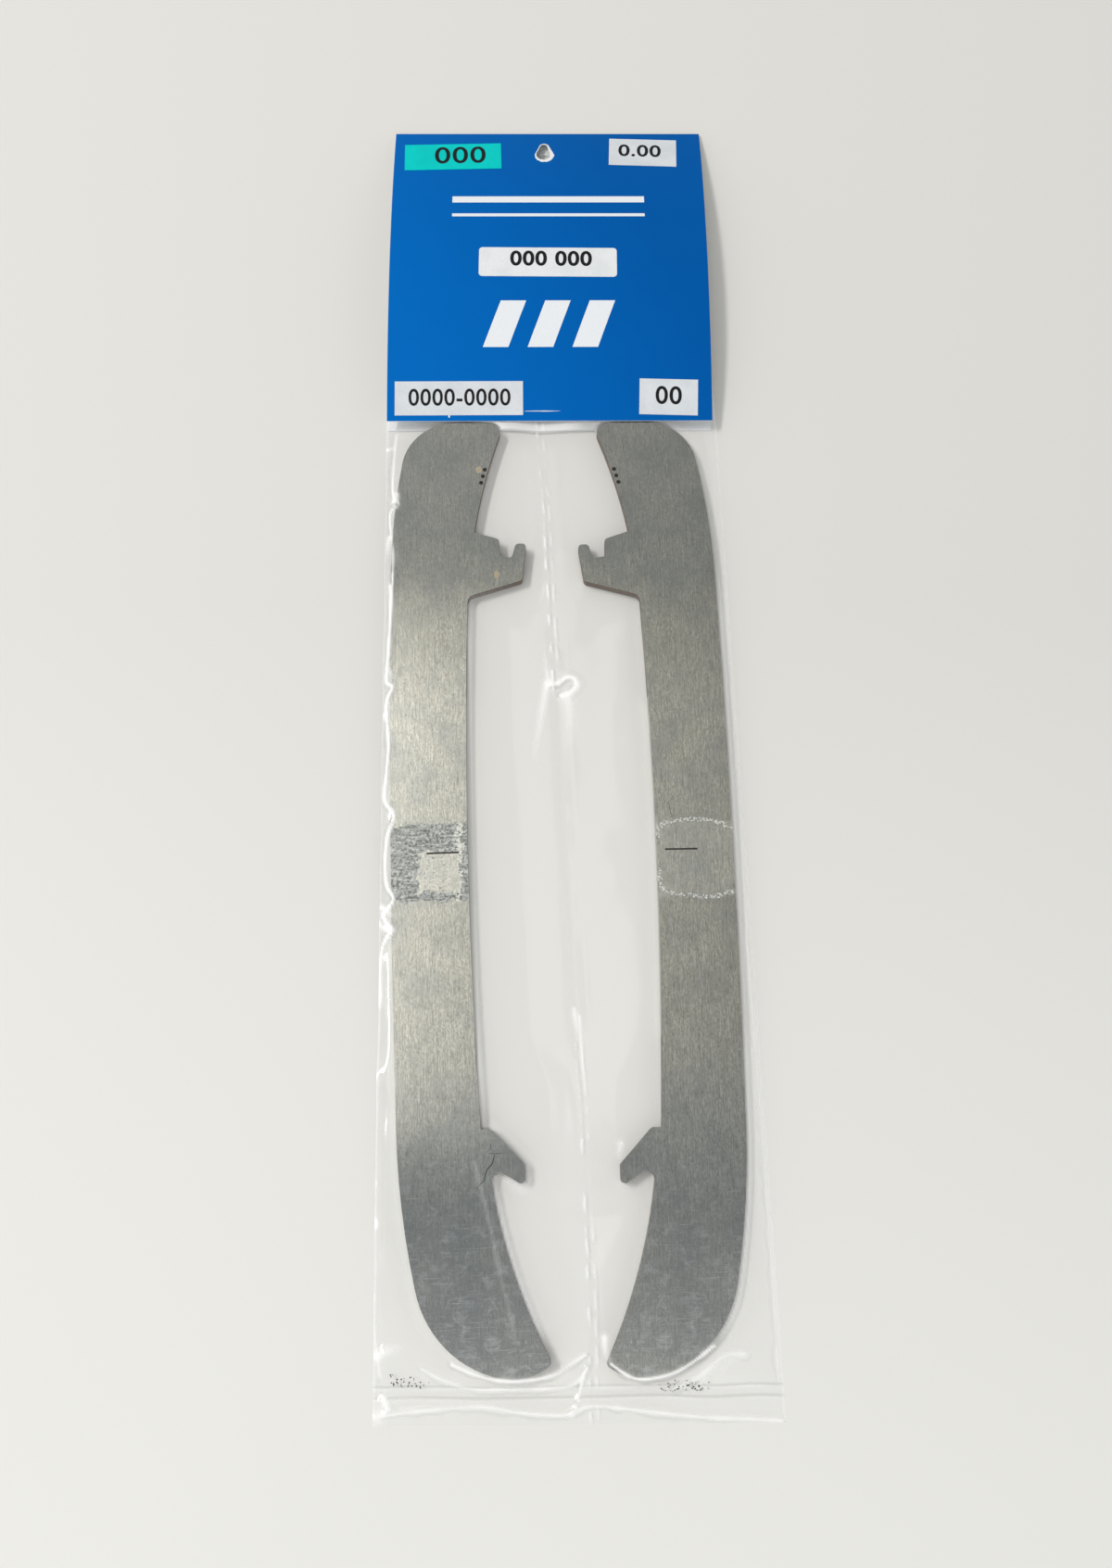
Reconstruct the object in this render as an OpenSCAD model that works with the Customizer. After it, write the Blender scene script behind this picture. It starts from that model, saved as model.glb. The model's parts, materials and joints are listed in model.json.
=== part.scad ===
// Retail pack of one pair of hockey skate steels: two runners in a clear two-pocket bag that hangs
// from a folded header card with stick-on labels. It lies on its back, +Y towards the card's fold,
// +Z up. Lengths are millimetres. Places down the pack are measured from the fold.

/* [Steel] */
// Steel height at the centre mark, from running edge to top edge
blade_height = 21.84; // [20:0.02:25]
// Steel thickness
blade_thickness = 2.9; // [2.6:0.1:3.4]
// Rocker radius of the running edge
rocker_radius = 3960; // [3300:20:4600]
// Radius of the hollow that is ground along the running edge
hollow_radius = 12.7; // [9.5:0.1:25.4]
// Radius of the slightly hollow top edge between the two hooks
top_edge_radius = 1650; // [1300:10:2200]
// Lowest point of the top edge, from the centre mark towards the toe
top_edge_low = 3; // [0:0.5:6]

/* [Heel of the steel] */
// Centre mark to the start of the heel sweep
heel_sweep_start = 84.3; // [80:0.1:88]
// Radius of the heel sweep
heel_sweep_radius = 244; // [220:2:270]
// Slope of the running edge where the heel round starts, degrees
heel_round_slope = 10.4; // [9.4:0.1:11.4]
// Radius of the heel round
heel_round_radius = 16.6; // [15.4:0.1:18]
// Radius of the heel's end edge
heel_end_radius = 75; // [55:1:95]
// Radius of the heel's upper corner
heel_corner_radius = 3; // [2:0.1:4]
// Centre mark to the heel's upper corner
heel_tip_reach = 131; // [129:0.1:133]
// Heel's upper corner above the top edge's level
heel_tip_rise = 12.8; // [12:0.1:14]
// Radius of the hollow edge between the heel's upper corner and the lug
heel_edge_radius = 190; // [150:5:260]

/* [Heel lug] */
// Centre mark to the lug's rear foot
lug_reach = 99.3; // [97:0.1:101]
// Lug's rear foot above the top edge's level
notch_rise = 4.5; // [4:0.1:5.5]
// Length of the lug's foot along the top edge
lug_length = 21.6; // [20:0.1:23.5]
// Step in front of the slot, above the top edge's level
step_rise = 12; // [11:0.1:13]
// Lean of the step's rear face, degrees
step_lean = 19; // [14:0.5:23]
// Length of the slot that the holder's catch enters
slot_depth = 5.7; // [5:0.1:6.2]
// Slot width at its end
slot_width = 3.6; // [3.2:0.1:4]
// Slot width at its mouth
slot_mouth = 5; // [4.6:0.1:5.4]
// Hook's tip in front of the step's corner
hook_setback = 1.7; // [1.2:0.1:2]
// Hook's tip above the top edge's level
lug_rise = 20.2; // [19.4:0.1:21]
// Length of the lug's upper edge
lug_top_length = 12; // [11:0.1:13]
// Lug's front corner above the top edge's level
lug_front_rise = 18.5; // [17.5:0.1:19.2]
// Radius of the hook's and the lug's outer corners
lug_corner_radius = 1.2; // [0.8:0.1:1.3]
// Radius of the slot's inner corners
slot_corner_radius = 0.8; // [0.5:0.1:1]
// Fillet between the lug's front face and the top edge
lug_fillet_radius = 2.5; // [1.5:0.1:3.5]

/* [Toe of the steel] */
// Centre mark to the start of the toe sweep
toe_sweep_start = 77; // [72:0.1:82]
// Radius of the toe sweep
toe_sweep_radius = 217; // [200:1:235]
// Slope of the running edge where the toe's nose starts, degrees
nose_slope = 11.8; // [11:0.1:12.6]
// Radius of the toe's nose
nose_radius = 28.5; // [27:0.1:30]
// Slope of the edge where the toe's tip starts, degrees
tip_slope = 78.7; // [72:0.1:84]
// Radius of the toe's tip
tip_radius = 15.2; // [13:0.1:17]
// Radius of the toe's upper corner
toe_corner_radius = 1; // [0.6:0.1:1.4]
// Radius of the hollow edge along the toe's tail
tail_edge_radius = 145; // [130:1:170]
// Centre mark to the tail's foot, under the toe hook
tail_foot_reach = 90; // [88:0.1:91]
// Tail's foot above the top edge's level
tail_foot_rise = 4; // [3.4:0.1:4.6]
// Centre mark to the toe's upper corner
toe_tip_reach = 136.4; // [135.4:0.1:137]
// Toe's upper corner above the top edge's level
toe_tip_rise = 18.6; // [17.8:0.1:19.4]

/* [Toe hook] */
// Centre mark to the toe hook's rear face
toe_hook_reach = 76.7; // [74:0.1:78]
// Height of that face above the top edge's level
toe_step_rise = 4.4; // [4:0.1:5.2]
// Length of the toe hook along the steel
toe_hook_length = 15.4; // [14.6:0.1:17]
// Top of the toe hook above the top edge's level
toe_hook_rise = 13.2; // [12.4:0.1:14]
// Slope of the toe hook's back, degrees
toe_hook_slope = 43; // [41:0.5:48]
// Slope of the toe hook's underside, degrees
toe_hook_under = 57; // [54:0.5:62]
// Radius of the toe hook's throat
throat_radius = 2.15; // [1.6:0.05:2.6]

/* [Marks on the steel] */
// Width of the engraved centre mark
mark_width = 0.4; // [0.2:0.05:0.8]
// Length of the engraved centre mark
mark_length = 9; // [4:0.5:11]
// Running edge to the centre mark
mark_height = 10.3; // [6:0.1:10.5]
// Depth of the centre mark and of the dots
mark_depth = 0.12; // [0.05:0.01:0.3]
// Diameter of the engraved dots near the heel's edge
dot_diameter = 1.1; // [0.7:0.1:1.3]
// Spacing of the dots
dot_spacing = 2.2; // [1.7:0.1:3]
// Centre mark to the nearest dot
dot_reach = 115.8; // [112:0.1:119]
// Centre of a dot to the heel's edge
dot_inset = 0.95; // [0.9:0.05:2]

/* [Header card] */
// Width of the card
card_w = 101; // [98:0.5:101.5]
// Height of each panel, from the fold
card_h = 110.6; // [108:0.2:125]
// Thickness of the card stock
card_t = 0.4; // [0.25:0.05:0.6]
// Turn of the front panel's arch from the fold to its lower edge, degrees
flap_arch = 26.6; // [18:0.2:32]
// Diameter of the punched hang hole
hang_hole_d = 5.6; // [4:0.1:6.5]
// Fold to the centre of the hang hole
hang_hole_drop = 10.9; // [8:0.1:12]
// How far the front panel's hole is torn towards the fold
hang_hole_tear = 2.6; // [1:0.1:4]
// Hang hole to the card's centre line
hang_hole_offset = -1.3; // [-4:0.1:4]
// Width of the tape strip that holds the bag
tape_w = 80; // [40:1:92]
// Height of the tape strip
tape_h = 12; // [8:0.5:19]
// Fold to the tape strip
tape_drop = 18; // [15:0.5:24]
// Thickness of the tape
tape_t = 0.1; // [0.05:0.01:0.2]

/* [Labels] */
// Thickness of the label paper
label_t = 0.1; // [0.06:0.01:0.2]
// Width of the teal label at the top left
teal_label_w = 31.7; // [24:0.1:36]
// Height of the teal label
teal_label_h = 12.3; // [9:0.1:14]
// Width of the steel height label at the top right
height_label_w = 22.2; // [18:0.1:26]
// Height of the steel height label
height_label_h = 13; // [9:0.1:14]
// Width of the size label
size_label_w = 43.8; // [36:0.2:60]
// Height of the size label
size_label_h = 10.8; // [8:0.1:14]
// Corner radius of the size label
size_label_corner = 1.2; // [0.4:0.1:3]
// Fold to the middle of the size label, along the panel
size_label_drop = 56; // [40:0.2:65]
// Width of the stock label at the lower left
stock_label_w = 39.8; // [32:0.1:46]
// Height of the stock label
stock_label_h = 10.9; // [9:0.1:14]
// Width of the price label at the lower right
price_label_w = 18.2; // [14:0.2:24]
// Height of the price label
price_label_h = 11.5; // [9:0.1:14]

/* [Bag] */
// Thickness of the bag film
film_t = 0.1; // [0.06:0.01:0.15]
// Fold to the bag's bottom edge
bag_length = 396.6; // [392:0.2:415]
// Fold to the bag's mouth inside the card
bag_mouth_drop = 3; // [2:0.1:4]
// Width of the bag's mouth
bag_mouth_w = 97; // [94:0.5:97.5]
// Width of the bag at the card's lower edge
bag_top_w = 102.8; // [102:0.2:110]
// Width of the bag's bottom edge
bag_bottom_w = 106.4; // [105:0.2:114]
// Sideways place of the bag's middle at the fold
bag_shift = -1.3; // [-1.5:0.1:0]
// Lean of the bag against the card, degrees
bag_lean = 1.03; // [0.6:0.01:1.2]
// Width of the side seals
side_seal_w = 0.6; // [0.4:0.1:0.9]
// Width of the centre seal between the pockets
centre_seal_w = 1.6; // [1:0.1:2]
// Lean of the centre seal against the bag, degrees
centre_seal_lean = 1.75; // [1.4:0.05:1.9]
// Fold to where the centre seal crosses the bag's middle
centre_seal_cross = 229; // [210:1:245]
// Bag's bottom edge to the upper line of the bottom seal
bottom_seal_up = 8.7; // [5:0.1:12]
// How far a pocket's wall spreads from its top to its seal
wall_run = 1; // [0.6:0.05:1.2]
// How far a pocket's upper end slopes down under the card
pocket_taper = 30; // [20:1:40]

/* [Fit] */
// Toe end of each steel to the bottom seal
toe_gap = 2.4; // [2.3:0.1:4]
// Left steel's edge to the bag's side at the centre mark
left_side_gap = 3; // [2.9:0.1:5]
// Right steel's edge to the bag's side at the centre mark
right_side_gap = 4; // [3:0.1:5]
// Lean of the left steel against the card, degrees
left_lean = 1.98; // [1.7:0.02:2.04]
// Lean of the right steel against the card, degrees
right_lean = 0.73; // [0.5:0.01:1.2]
// How far a steel can slide up under the card
travel_up = 20; // [10:1:25]
// Room past the heel at the end of that travel
heel_gap = 1; // [0.5:0.1:3]
// Steel over the back film
floor_gap = 0.1; // [0.05:0.01:0.3]
// Front film over the steel
film_gap = 0.2; // [0.15:0.01:0.5]
// Front panel over the bag where it rests
flap_gap = 0.2; // [0.1:0.02:0.5]
// Slack between the films and the card at the fold
fold_slack = 0.1; // [0.05:0.01:0.3]
// Round fold in its seat on the back panel
fold_clearance = 0.05; // [0.03:0.01:0.1]
// Clearance of the hang hole in the films
film_hole_clearance = 0.2; // [0.1:0.05:0.5]

/* [Hidden] */

steel_colour = "#86888a";
film_colour = [0.92, 0.95, 0.97, 0.35];
card_colour = "#0062b2";
card_inside_colour = "#eef0f2";
label_colour = "#e4e7ea";
teal_colour = "#19c9b4";

// Facets per turn: the long radii need short steps to stay within a few microns of the true arc
function facets(r) = r > 1000 ? 7200 : r > 100 ? 1440 : r > 10 ? 360 : 96;

// Plane geometry
function toward(a) = [cos(a), sin(a)];
function unit(p) = p / norm(p);
function turned(p) = [-p.y, p.x];
// Centre of the arc of radius r through p and q, on the left of p to q
function arc_centre(p, q, r) =
    let (half = (q - p) / 2)
    p + half + turned(unit(half)) * sqrt(r * r - half * half);
// Where circle a, ra meets circle b, rb, on the left of a to b for side 1 and on the right for side -1
function meet_circles(a, ra, b, rb, side) =
    let (gap = norm(b - a), along = (ra * ra - rb * rb + gap * gap) / (2 * gap), out = unit(b - a))
    a + along * out + side * sqrt(ra * ra - along * along) * turned(out);
// Where the line from p along the unit vector d first enters or, for side 1, leaves the circle c, r
function meet_line_circle(p, d, c, r, side) =
    let (q = p - c, along = q * d)
    p + d * (side * sqrt(along * along - q * q + r * r) - along);
function lerp(a, b, t) = a + (b - a) * t;

// Running edge: tangent arcs, each as [centre, radius, first angle, last angle], joined on shared normals
function next_centre(c, r, a, next_r) = c + (r - next_r) * toward(a);
rocker_centre = [0, rocker_radius];
heel_sweep_angle = -90 - asin(heel_sweep_start / rocker_radius);
heel_round_angle = -90 - heel_round_slope;
heel_end_angle = -180;
heel_stop_angle = -207;
toe_sweep_angle = -90 + asin(toe_sweep_start / rocker_radius);
nose_angle = -90 + nose_slope;
tip_angle = -90 + tip_slope;
tip_stop_angle = 75;
heel_sweep_centre = next_centre(rocker_centre, rocker_radius, heel_sweep_angle, heel_sweep_radius);
heel_round_centre = next_centre(heel_sweep_centre, heel_sweep_radius, heel_round_angle, heel_round_radius);
heel_end_centre = next_centre(heel_round_centre, heel_round_radius, heel_end_angle, heel_end_radius);
toe_sweep_centre = next_centre(rocker_centre, rocker_radius, toe_sweep_angle, toe_sweep_radius);
nose_centre = next_centre(toe_sweep_centre, toe_sweep_radius, nose_angle, nose_radius);
tip_centre = next_centre(nose_centre, nose_radius, tip_angle, tip_radius);
edge_core_points = [
    heel_end_centre + heel_end_radius * toward(heel_stop_angle),
    heel_round_centre + heel_round_radius * toward(heel_end_angle),
    heel_sweep_centre + heel_sweep_radius * toward(heel_round_angle),
    rocker_centre + rocker_radius * toward(heel_sweep_angle),
    rocker_centre + rocker_radius * toward(toe_sweep_angle),
    nose_centre + nose_radius * toward(nose_angle),
    tip_centre + tip_radius * toward(tip_angle),
    tip_centre + tip_radius * toward(tip_stop_angle)
];
// A smaller arc runs past its joint and stands a lap proud of the larger one, so that the two cross cleanly
joint_lap = 0.005;
joint_lead = 4;
function edge_arc(c, r, laps, first, last, lead_before, lead_after) =
    let (lead = joint_lead / r * 180 / PI)
    [c, r + laps * joint_lap, first - lead_before * lead, last + lead_after * lead];
edge_arcs = [
    edge_arc(heel_end_centre, heel_end_radius, 1, heel_stop_angle, heel_end_angle, 0, 0),
    edge_arc(heel_round_centre, heel_round_radius, 2, heel_end_angle, heel_round_angle, 1, 1),
    edge_arc(heel_sweep_centre, heel_sweep_radius, 1, heel_round_angle, heel_sweep_angle, 0, 1),
    edge_arc(rocker_centre, rocker_radius, 0, heel_sweep_angle, toe_sweep_angle, 0, 0),
    edge_arc(toe_sweep_centre, toe_sweep_radius, 1, toe_sweep_angle, nose_angle, 1, 0),
    edge_arc(nose_centre, nose_radius, 2, nose_angle, tip_angle, 1, 0),
    edge_arc(tip_centre, tip_radius, 3, tip_angle, tip_stop_angle, 1, 0)
];
heel_reach = heel_end_radius - heel_end_centre.x;
toe_reach = tip_centre.x + tip_radius;
sector_depth = 12;
above_all = 120;

// Upper edges: three hollow arcs
top_edge_centre = [top_edge_low, blade_height + top_edge_radius];
heel_tip = [-heel_tip_reach, blade_height + heel_tip_rise];
notch = [-lug_reach, blade_height + notch_rise];
heel_edge_centre = arc_centre(heel_tip, notch, heel_edge_radius);
tail_foot = [tail_foot_reach, blade_height + tail_foot_rise];
toe_tip = [toe_tip_reach, blade_height + toe_tip_rise];
tail_edge_centre = arc_centre(tail_foot, toe_tip, tail_edge_radius);
under_lug = lug_length / 2 - lug_reach;
under_toe_hook = toe_hook_reach + toe_hook_length / 3;
edge_overlap = 1;
root_depth = 5;
root_level = blade_height - root_depth;

// Heel lug, counter-clockwise from its front foot over the hook and round the slot to its rear foot
step_corner = notch + (step_rise - notch_rise) * [tan(step_lean), 1];
slot_slant = 0.5;
slot_floor_rear = step_corner + [slot_depth, 0];
slot_floor_front = step_corner + [slot_depth + slot_slant, slot_width];
hook_tip_rear = step_corner + [hook_setback, slot_mouth];
hook_tip_front = [hook_tip_rear.x, blade_height + lug_rise];
lug_front_corner = [hook_tip_front.x + lug_top_length, blade_height + lug_front_rise];
lug_front_foot = [lug_length - lug_reach, blade_height];
lug_front_way = unit(lug_front_foot - lug_front_corner);
lug_root_rear = notch - (notch_rise + root_depth) * [tan(step_lean), 1];
lug_root_front = lug_front_foot - root_depth / lug_front_way.y * lug_front_way;
lug_outline = [
    [lug_root_front, 0],
    [lug_front_corner, lug_corner_radius],
    [hook_tip_front, lug_corner_radius],
    [hook_tip_rear, lug_corner_radius],
    [slot_floor_front, slot_corner_radius],
    [slot_floor_rear, slot_corner_radius],
    [step_corner, lug_corner_radius],
    [lug_root_rear, 0]
];

// Toe hook, counter-clockwise from its underside over its tip and back to its rear face
toe_hook_level = blade_height + toe_hook_rise;
toe_step_corner = [toe_hook_reach, blade_height + toe_step_rise];
toe_back_corner = toe_step_corner + (toe_hook_rise - toe_step_rise) * [1 / tan(toe_hook_slope), 1];
toe_hook_tip = [toe_hook_reach + toe_hook_length, toe_hook_level];
toe_under_way = -toward(toe_hook_under);
toe_hook_root = toe_hook_tip - (toe_hook_rise + root_depth) / toe_under_way.y * toe_under_way;
toe_hook_outline = [
    [toe_hook_root, 0],
    [toe_hook_tip, lug_corner_radius],
    [toe_back_corner, lug_corner_radius],
    [toe_step_corner, lug_corner_radius],
    [[toe_hook_reach, root_level], 0]
];

// Heights of the stack: card, tape, back film, steel, front film
back_film_z = card_t + tape_t;
steel_z = back_film_z + film_t + floor_gap;
pocket_z = steel_z + blade_thickness + film_gap + film_t;
fold_gap = tape_t + 2 * film_t + fold_slack;
fold_r = card_t + fold_gap / 2;

// Places down the pack, from the fold
bottom_seal = bag_length - bottom_seal_up;
shoulder = card_h;
step_run = 4;
wall_top_seal = bottom_seal - wall_run;

// Plan of the bag
function bag_middle(s) = bag_shift + s * tan(bag_lean);
function bag_half(s) =
    s < shoulder
    ? lerp(bag_mouth_w, bag_top_w, (s - bag_mouth_drop) / (shoulder - bag_mouth_drop)) / 2
    : lerp(bag_top_w, bag_bottom_w, (s - shoulder) / (bag_length - shoulder)) / 2;
function bag_side(side, s) = bag_middle(s) + side * bag_half(s);
function centre_seal(s) = bag_middle(s) + (s - centre_seal_cross) * tan(centre_seal_lean);

// Place of a steel: its centre mark down the pack and across it
function mark_drop(side, lean) =
    bottom_seal - toe_gap - tip_radius - tip_centre.x * cos(lean) - side * tip_centre.y * sin(lean);
left_mark = mark_drop(-1, left_lean);
right_mark = mark_drop(1, right_lean);
heel_end = min(left_mark, right_mark) - heel_reach;
pocket_top = heel_end - travel_up - heel_gap;
pocket_end = pocket_top - pocket_taper;

// Front panel: an arch that leaves the fold tangent to it and rests its lower edge on the pockets
flap_length = card_h - fold_r;
flap_radius = flap_length * 180 / (PI * flap_arch);
flap_edge = [flap_radius * sin(flap_arch), fold_gap / 2 - flap_radius * (1 - cos(flap_arch))];
flap_rise = asin((pocket_z + flap_gap - fold_r) / norm(flap_edge)) - atan2(flap_edge.y, flap_edge.x);
hole_reach = 30;

// Origin under the middle of the whole pack
pack_left = min(-card_w / 2, bag_side(-1, shoulder), bag_side(-1, bag_length));
pack_right = max(card_w / 2, bag_side(1, shoulder), bag_side(1, bag_length));
pack_middle = (pack_left + pack_right) / 2;

// Counter-clockwise polygon with each corner, given as [point, radius], rounded by a true arc
module rounded_outline(corners) {
    n = len(corners);
    function corner_arc(i) =
        let (
            p = corners[i][0],
            r = corners[i][1],
            before = unit(corners[(i + n - 1) % n][0] - p),
            after = unit(corners[(i + 1) % n][0] - p),
            half = acos(before * after) / 2,
            reach = r / tan(half),
            bend = after.x * before.y - after.y * before.x
        )
        [p + reach * before, p, p + reach * after, p + r / sin(half) * unit(before + after), r, bend];
    arcs = [for (i = [0 : n - 1]) corner_arc(i)];
    module corner_sector(a) {
        intersection() {
            polygon([a[3], a[0], a[1], a[2]]);
            translate(a[3]) circle(a[4] + joint_lap, $fn = facets(a[4]));
        }
    }
    difference() {
        union() {
            polygon([for (a = arcs) each (a[4] > 0 ? [a[0], a[2]] : [a[1]])]);
            for (a = arcs) if (a[4] > 0 && a[5] > 0) corner_sector(a);
        }
        for (a = arcs) if (a[4] > 0 && a[5] < 0) corner_sector(a);
    }
}

// Material under one arc of the running edge, between two of its normals
module edge_sector(arc) {
    c = arc[0];
    r = arc[1];
    outer = r / cos((arc[3] - arc[2]) / 4) + 1;
    inner = r - min(sector_depth, r / 2);
    intersection() {
        translate(c) circle(r, $fn = facets(r));
        polygon(concat(
            [for (t = [0, 0.5, 1]) c + outer * toward(lerp(arc[2], arc[3], t))],
            [for (t = [1, 0]) c + inner * toward(lerp(arc[2], arc[3], t))]
        ));
    }
}

// Room above a hollow edge, between two places along the steel
module above_edge(c, r, from, to) {
    intersection() {
        translate(c) circle(r, $fn = facets(r));
        translate([from, 0]) square([to - from, above_all]);
    }
}

// Fillet between two edges that it touches at t1 and t2
module fillet(c, r, t1, inside, t2) {
    difference() {
        polygon([t1, inside, t2]);
        translate(c) circle(r + joint_lap, $fn = facets(r));
    }
}

// What an outer corner loses to its round, which touches the edges at t1 and t2
module corner_waste(c, r, t1, t2) {
    difference() {
        polygon([c, lerp(c, t1, 1.2), c + 1.5 * (t1 + t2 - 2 * c), lerp(c, t2, 1.2)]);
        translate(c) circle(r + joint_lap, $fn = facets(r));
    }
}

// Round of radius r where an arc of the running edge meets a hollow edge, on the given side of their centres
module corner_between(arc, c, hollow_r, r, side) {
    middle = meet_circles(arc[0], arc[1] - r, c, hollow_r + r, side);
    corner_waste(middle, r, arc[0] + arc[1] * unit(middle - arc[0]), c + hollow_r * unit(middle - c));
}

module lug_fillet() {
    out = turned(lug_front_way);
    c = meet_line_circle(lug_front_corner + lug_fillet_radius * out, lug_front_way,
                         top_edge_centre, top_edge_radius - lug_fillet_radius, 1);
    fillet(c, lug_fillet_radius, c - lug_fillet_radius * out, lug_front_foot - [0, root_depth / 2],
           top_edge_centre + top_edge_radius * unit(c - top_edge_centre));
}

module throat_fillet() {
    out = turned(toe_under_way);
    c = meet_line_circle(toe_hook_tip + throat_radius * out, toe_under_way,
                         tail_edge_centre, tail_edge_radius - throat_radius, 1);
    fillet(c, throat_radius, c - throat_radius * out, [toe_hook_root.x, blade_height],
           tail_edge_centre + tail_edge_radius * unit(c - tail_edge_centre));
}

// Outline of the steel: x towards the toe from the centre mark, y up from the running edge
module steel_outline() {
    union() {
        difference() {
            union() {
                polygon(edge_core_points);
                for (arc = edge_arcs) edge_sector(arc);
            }
            above_edge(heel_edge_centre, heel_edge_radius, -heel_reach - 1, under_lug + edge_overlap);
            above_edge(top_edge_centre, top_edge_radius,
                       under_lug - edge_overlap, under_toe_hook + edge_overlap);
            above_edge(tail_edge_centre, tail_edge_radius, under_toe_hook - edge_overlap, toe_reach + 1);
            corner_between(edge_arcs[0], heel_edge_centre, heel_edge_radius, heel_corner_radius, 1);
            corner_between(edge_arcs[len(edge_arcs) - 1],
                           tail_edge_centre, tail_edge_radius, toe_corner_radius, -1);
        }
        rounded_outline(lug_outline);
        rounded_outline(toe_hook_outline);
        lug_fillet();
        throat_fillet();
    }
}

// Grinding path of the hollow: a ring segment along the rocker, clear of its two joints
module hollow_grind() {
    bite = 0.02;
    half = blade_thickness / 2;
    depth = hollow_radius - sqrt(hollow_radius * hollow_radius - half * half) + bite;
    clear = joint_lead / rocker_radius * 180 / PI;
    translate(rocker_centre)
        rotate(heel_sweep_angle + clear)
            rotate_extrude(angle = toe_sweep_angle - heel_sweep_angle - 2 * clear,
                           $fn = facets(rocker_radius))
                translate([rocker_radius + hollow_radius - depth, half])
                    circle(hollow_radius, $fn = 240);
}

// Centre mark and dots, engraved in one face
module face_marks() {
    translate([-mark_width / 2, mark_height, -1]) cube([mark_width, mark_length, 1 + mark_depth]);
    for (i = [0 : 2]) {
        x = -dot_reach - i * dot_spacing;
        reach = heel_edge_radius + dot_inset;
        across = x - heel_edge_centre.x;
        translate([x, heel_edge_centre.y - sqrt(reach * reach - across * across), -1])
            cylinder(d = dot_diameter, h = 1 + mark_depth, $fn = 32);
    }
}

module steel() {
    color(steel_colour)
        difference() {
            linear_extrude(blade_thickness) steel_outline();
            hollow_grind();
            face_marks();
            translate([0, 0, blade_thickness]) mirror([0, 0, 1]) face_marks();
        }
}

// Everything below is placed from the fold's middle, with +Y beyond the fold
module in_pack() {
    translate([-pack_middle, bag_length / 2, 0]) children();
}

module in_pocket(side, mark, gap, lean) {
    in_pack()
        translate([bag_side(side, mark) - side * gap, -mark, steel_z])
            rotate(lean - 90)
                children();
}

module left_blade() {
    in_pocket(-1, left_mark, left_side_gap, left_lean) steel();
}

module right_blade() {
    in_pocket(1, right_mark, right_side_gap, right_lean) mirror([0, 1, 0]) steel();
}

// Side view of the space under a film: raised over the card, down on the table below it
module under_film(z) {
    rotate([90, 0, 90])
        linear_extrude(2 * bag_bottom_w, center = true)
            polygon([
                [0, -1], [0, back_film_z + z], [-card_h, back_film_z + z], [-card_h - step_run, z],
                [-bag_length, z], [-bag_length, -1]
            ]);
}

module bag_plan() {
    polygon([
        for (p = [[-1, bag_mouth_drop], [-1, shoulder], [-1, bag_length],
                  [1, bag_length], [1, shoulder], [1, bag_mouth_drop]])
            [bag_side(p[0], p[1]), -p[1]]
    ]);
}

module hang_hole(clearance) {
    translate([hang_hole_offset, -hang_hole_drop, -1])
        cylinder(d = hang_hole_d + 2 * clearance, h = hole_reach, $fn = 64);
}

// Hole torn to a pear by its hook: a small round above the punched one, joined on their common tangents
module torn_hang_hole() {
    r = hang_hole_d / 2;
    tear_r = r / 2;
    above = r + hang_hole_tear - tear_r;
    out = acos((r - tear_r) / above);
    translate([hang_hole_offset, -hang_hole_drop, -1])
        linear_extrude(hole_reach) {
            circle(r + joint_lap, $fn = 64);
            translate([0, above]) circle(tear_r + joint_lap, $fn = 48);
            polygon([
                r * [sin(out), cos(out)],
                [0, above] + tear_r * [sin(out), cos(out)],
                [0, above] + tear_r * [-sin(out), cos(out)],
                r * [-sin(out), cos(out)]
            ]);
        }
}

// Flat film that lies on everything under the level z
module film(z) {
    difference() {
        intersection() {
            under_film(z + film_t);
            linear_extrude(2 * pocket_z) bag_plan();
        }
        under_film(z);
    }
}

// Plan of a pocket: inset from the side and centre seals, from one place down the pack to another
module pocket_plan(side, inset, from, to) {
    function inner(s) = centre_seal(s) + side * (centre_seal_w / 2 + inset);
    function outer(s) = bag_side(side, s) - side * (side_seal_w + inset);
    polygon([
        [inner(from), -from], [outer(from), -from], [outer(shoulder), -shoulder],
        [outer(to), -to], [inner(to), -to]
    ]);
}

// Space of a pocket from its seals up to its flat top, with a film's thickness taken off for its inside
module pocket(side, skin) {
    sliver = 0.01;
    hull() {
        translate([0, 0, pocket_z - skin - sliver])
            linear_extrude(sliver) pocket_plan(side, wall_run + skin, pocket_top, wall_top_seal - skin);
        linear_extrude(sliver) pocket_plan(side, skin, pocket_end, bottom_seal - skin);
    }
}

module bag_back_film() {
    color(film_colour)
        in_pack()
            difference() {
                film(0);
                hang_hole(film_hole_clearance);
            }
}

module bag_front_film() {
    color(film_colour)
        in_pack()
            difference() {
                union() {
                    film(film_t);
                    for (side = [-1, 1]) pocket(side, 0);
                }
                for (side = [-1, 1]) pocket(side, film_t);
                under_film(film_t);
                hang_hole(film_hole_clearance);
            }
}

// Fold line: the axis that the front panel turns about
module at_fold() {
    translate([0, -fold_r, fold_r]) children();
}

module fold_round(r, length) {
    rotate([0, 90, 0]) cylinder(r = r, h = length, center = true, $fn = 48);
}

module header_back_panel() {
    color(card_inside_colour)
        in_pack()
            difference() {
                translate([-card_w / 2, -card_h, 0]) cube([card_w, card_h - fold_r, card_t]);
                at_fold() fold_round(fold_r + fold_clearance, card_w + 1);
                hang_hole(0);
            }
}

// Centre of the front panel's arch, with the fold's side of the panel straight above it
module at_arch_centre() {
    at_fold() rotate([-flap_rise, 0, 0]) translate([0, 0, fold_gap / 2 - flap_radius]) children();
}

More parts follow.
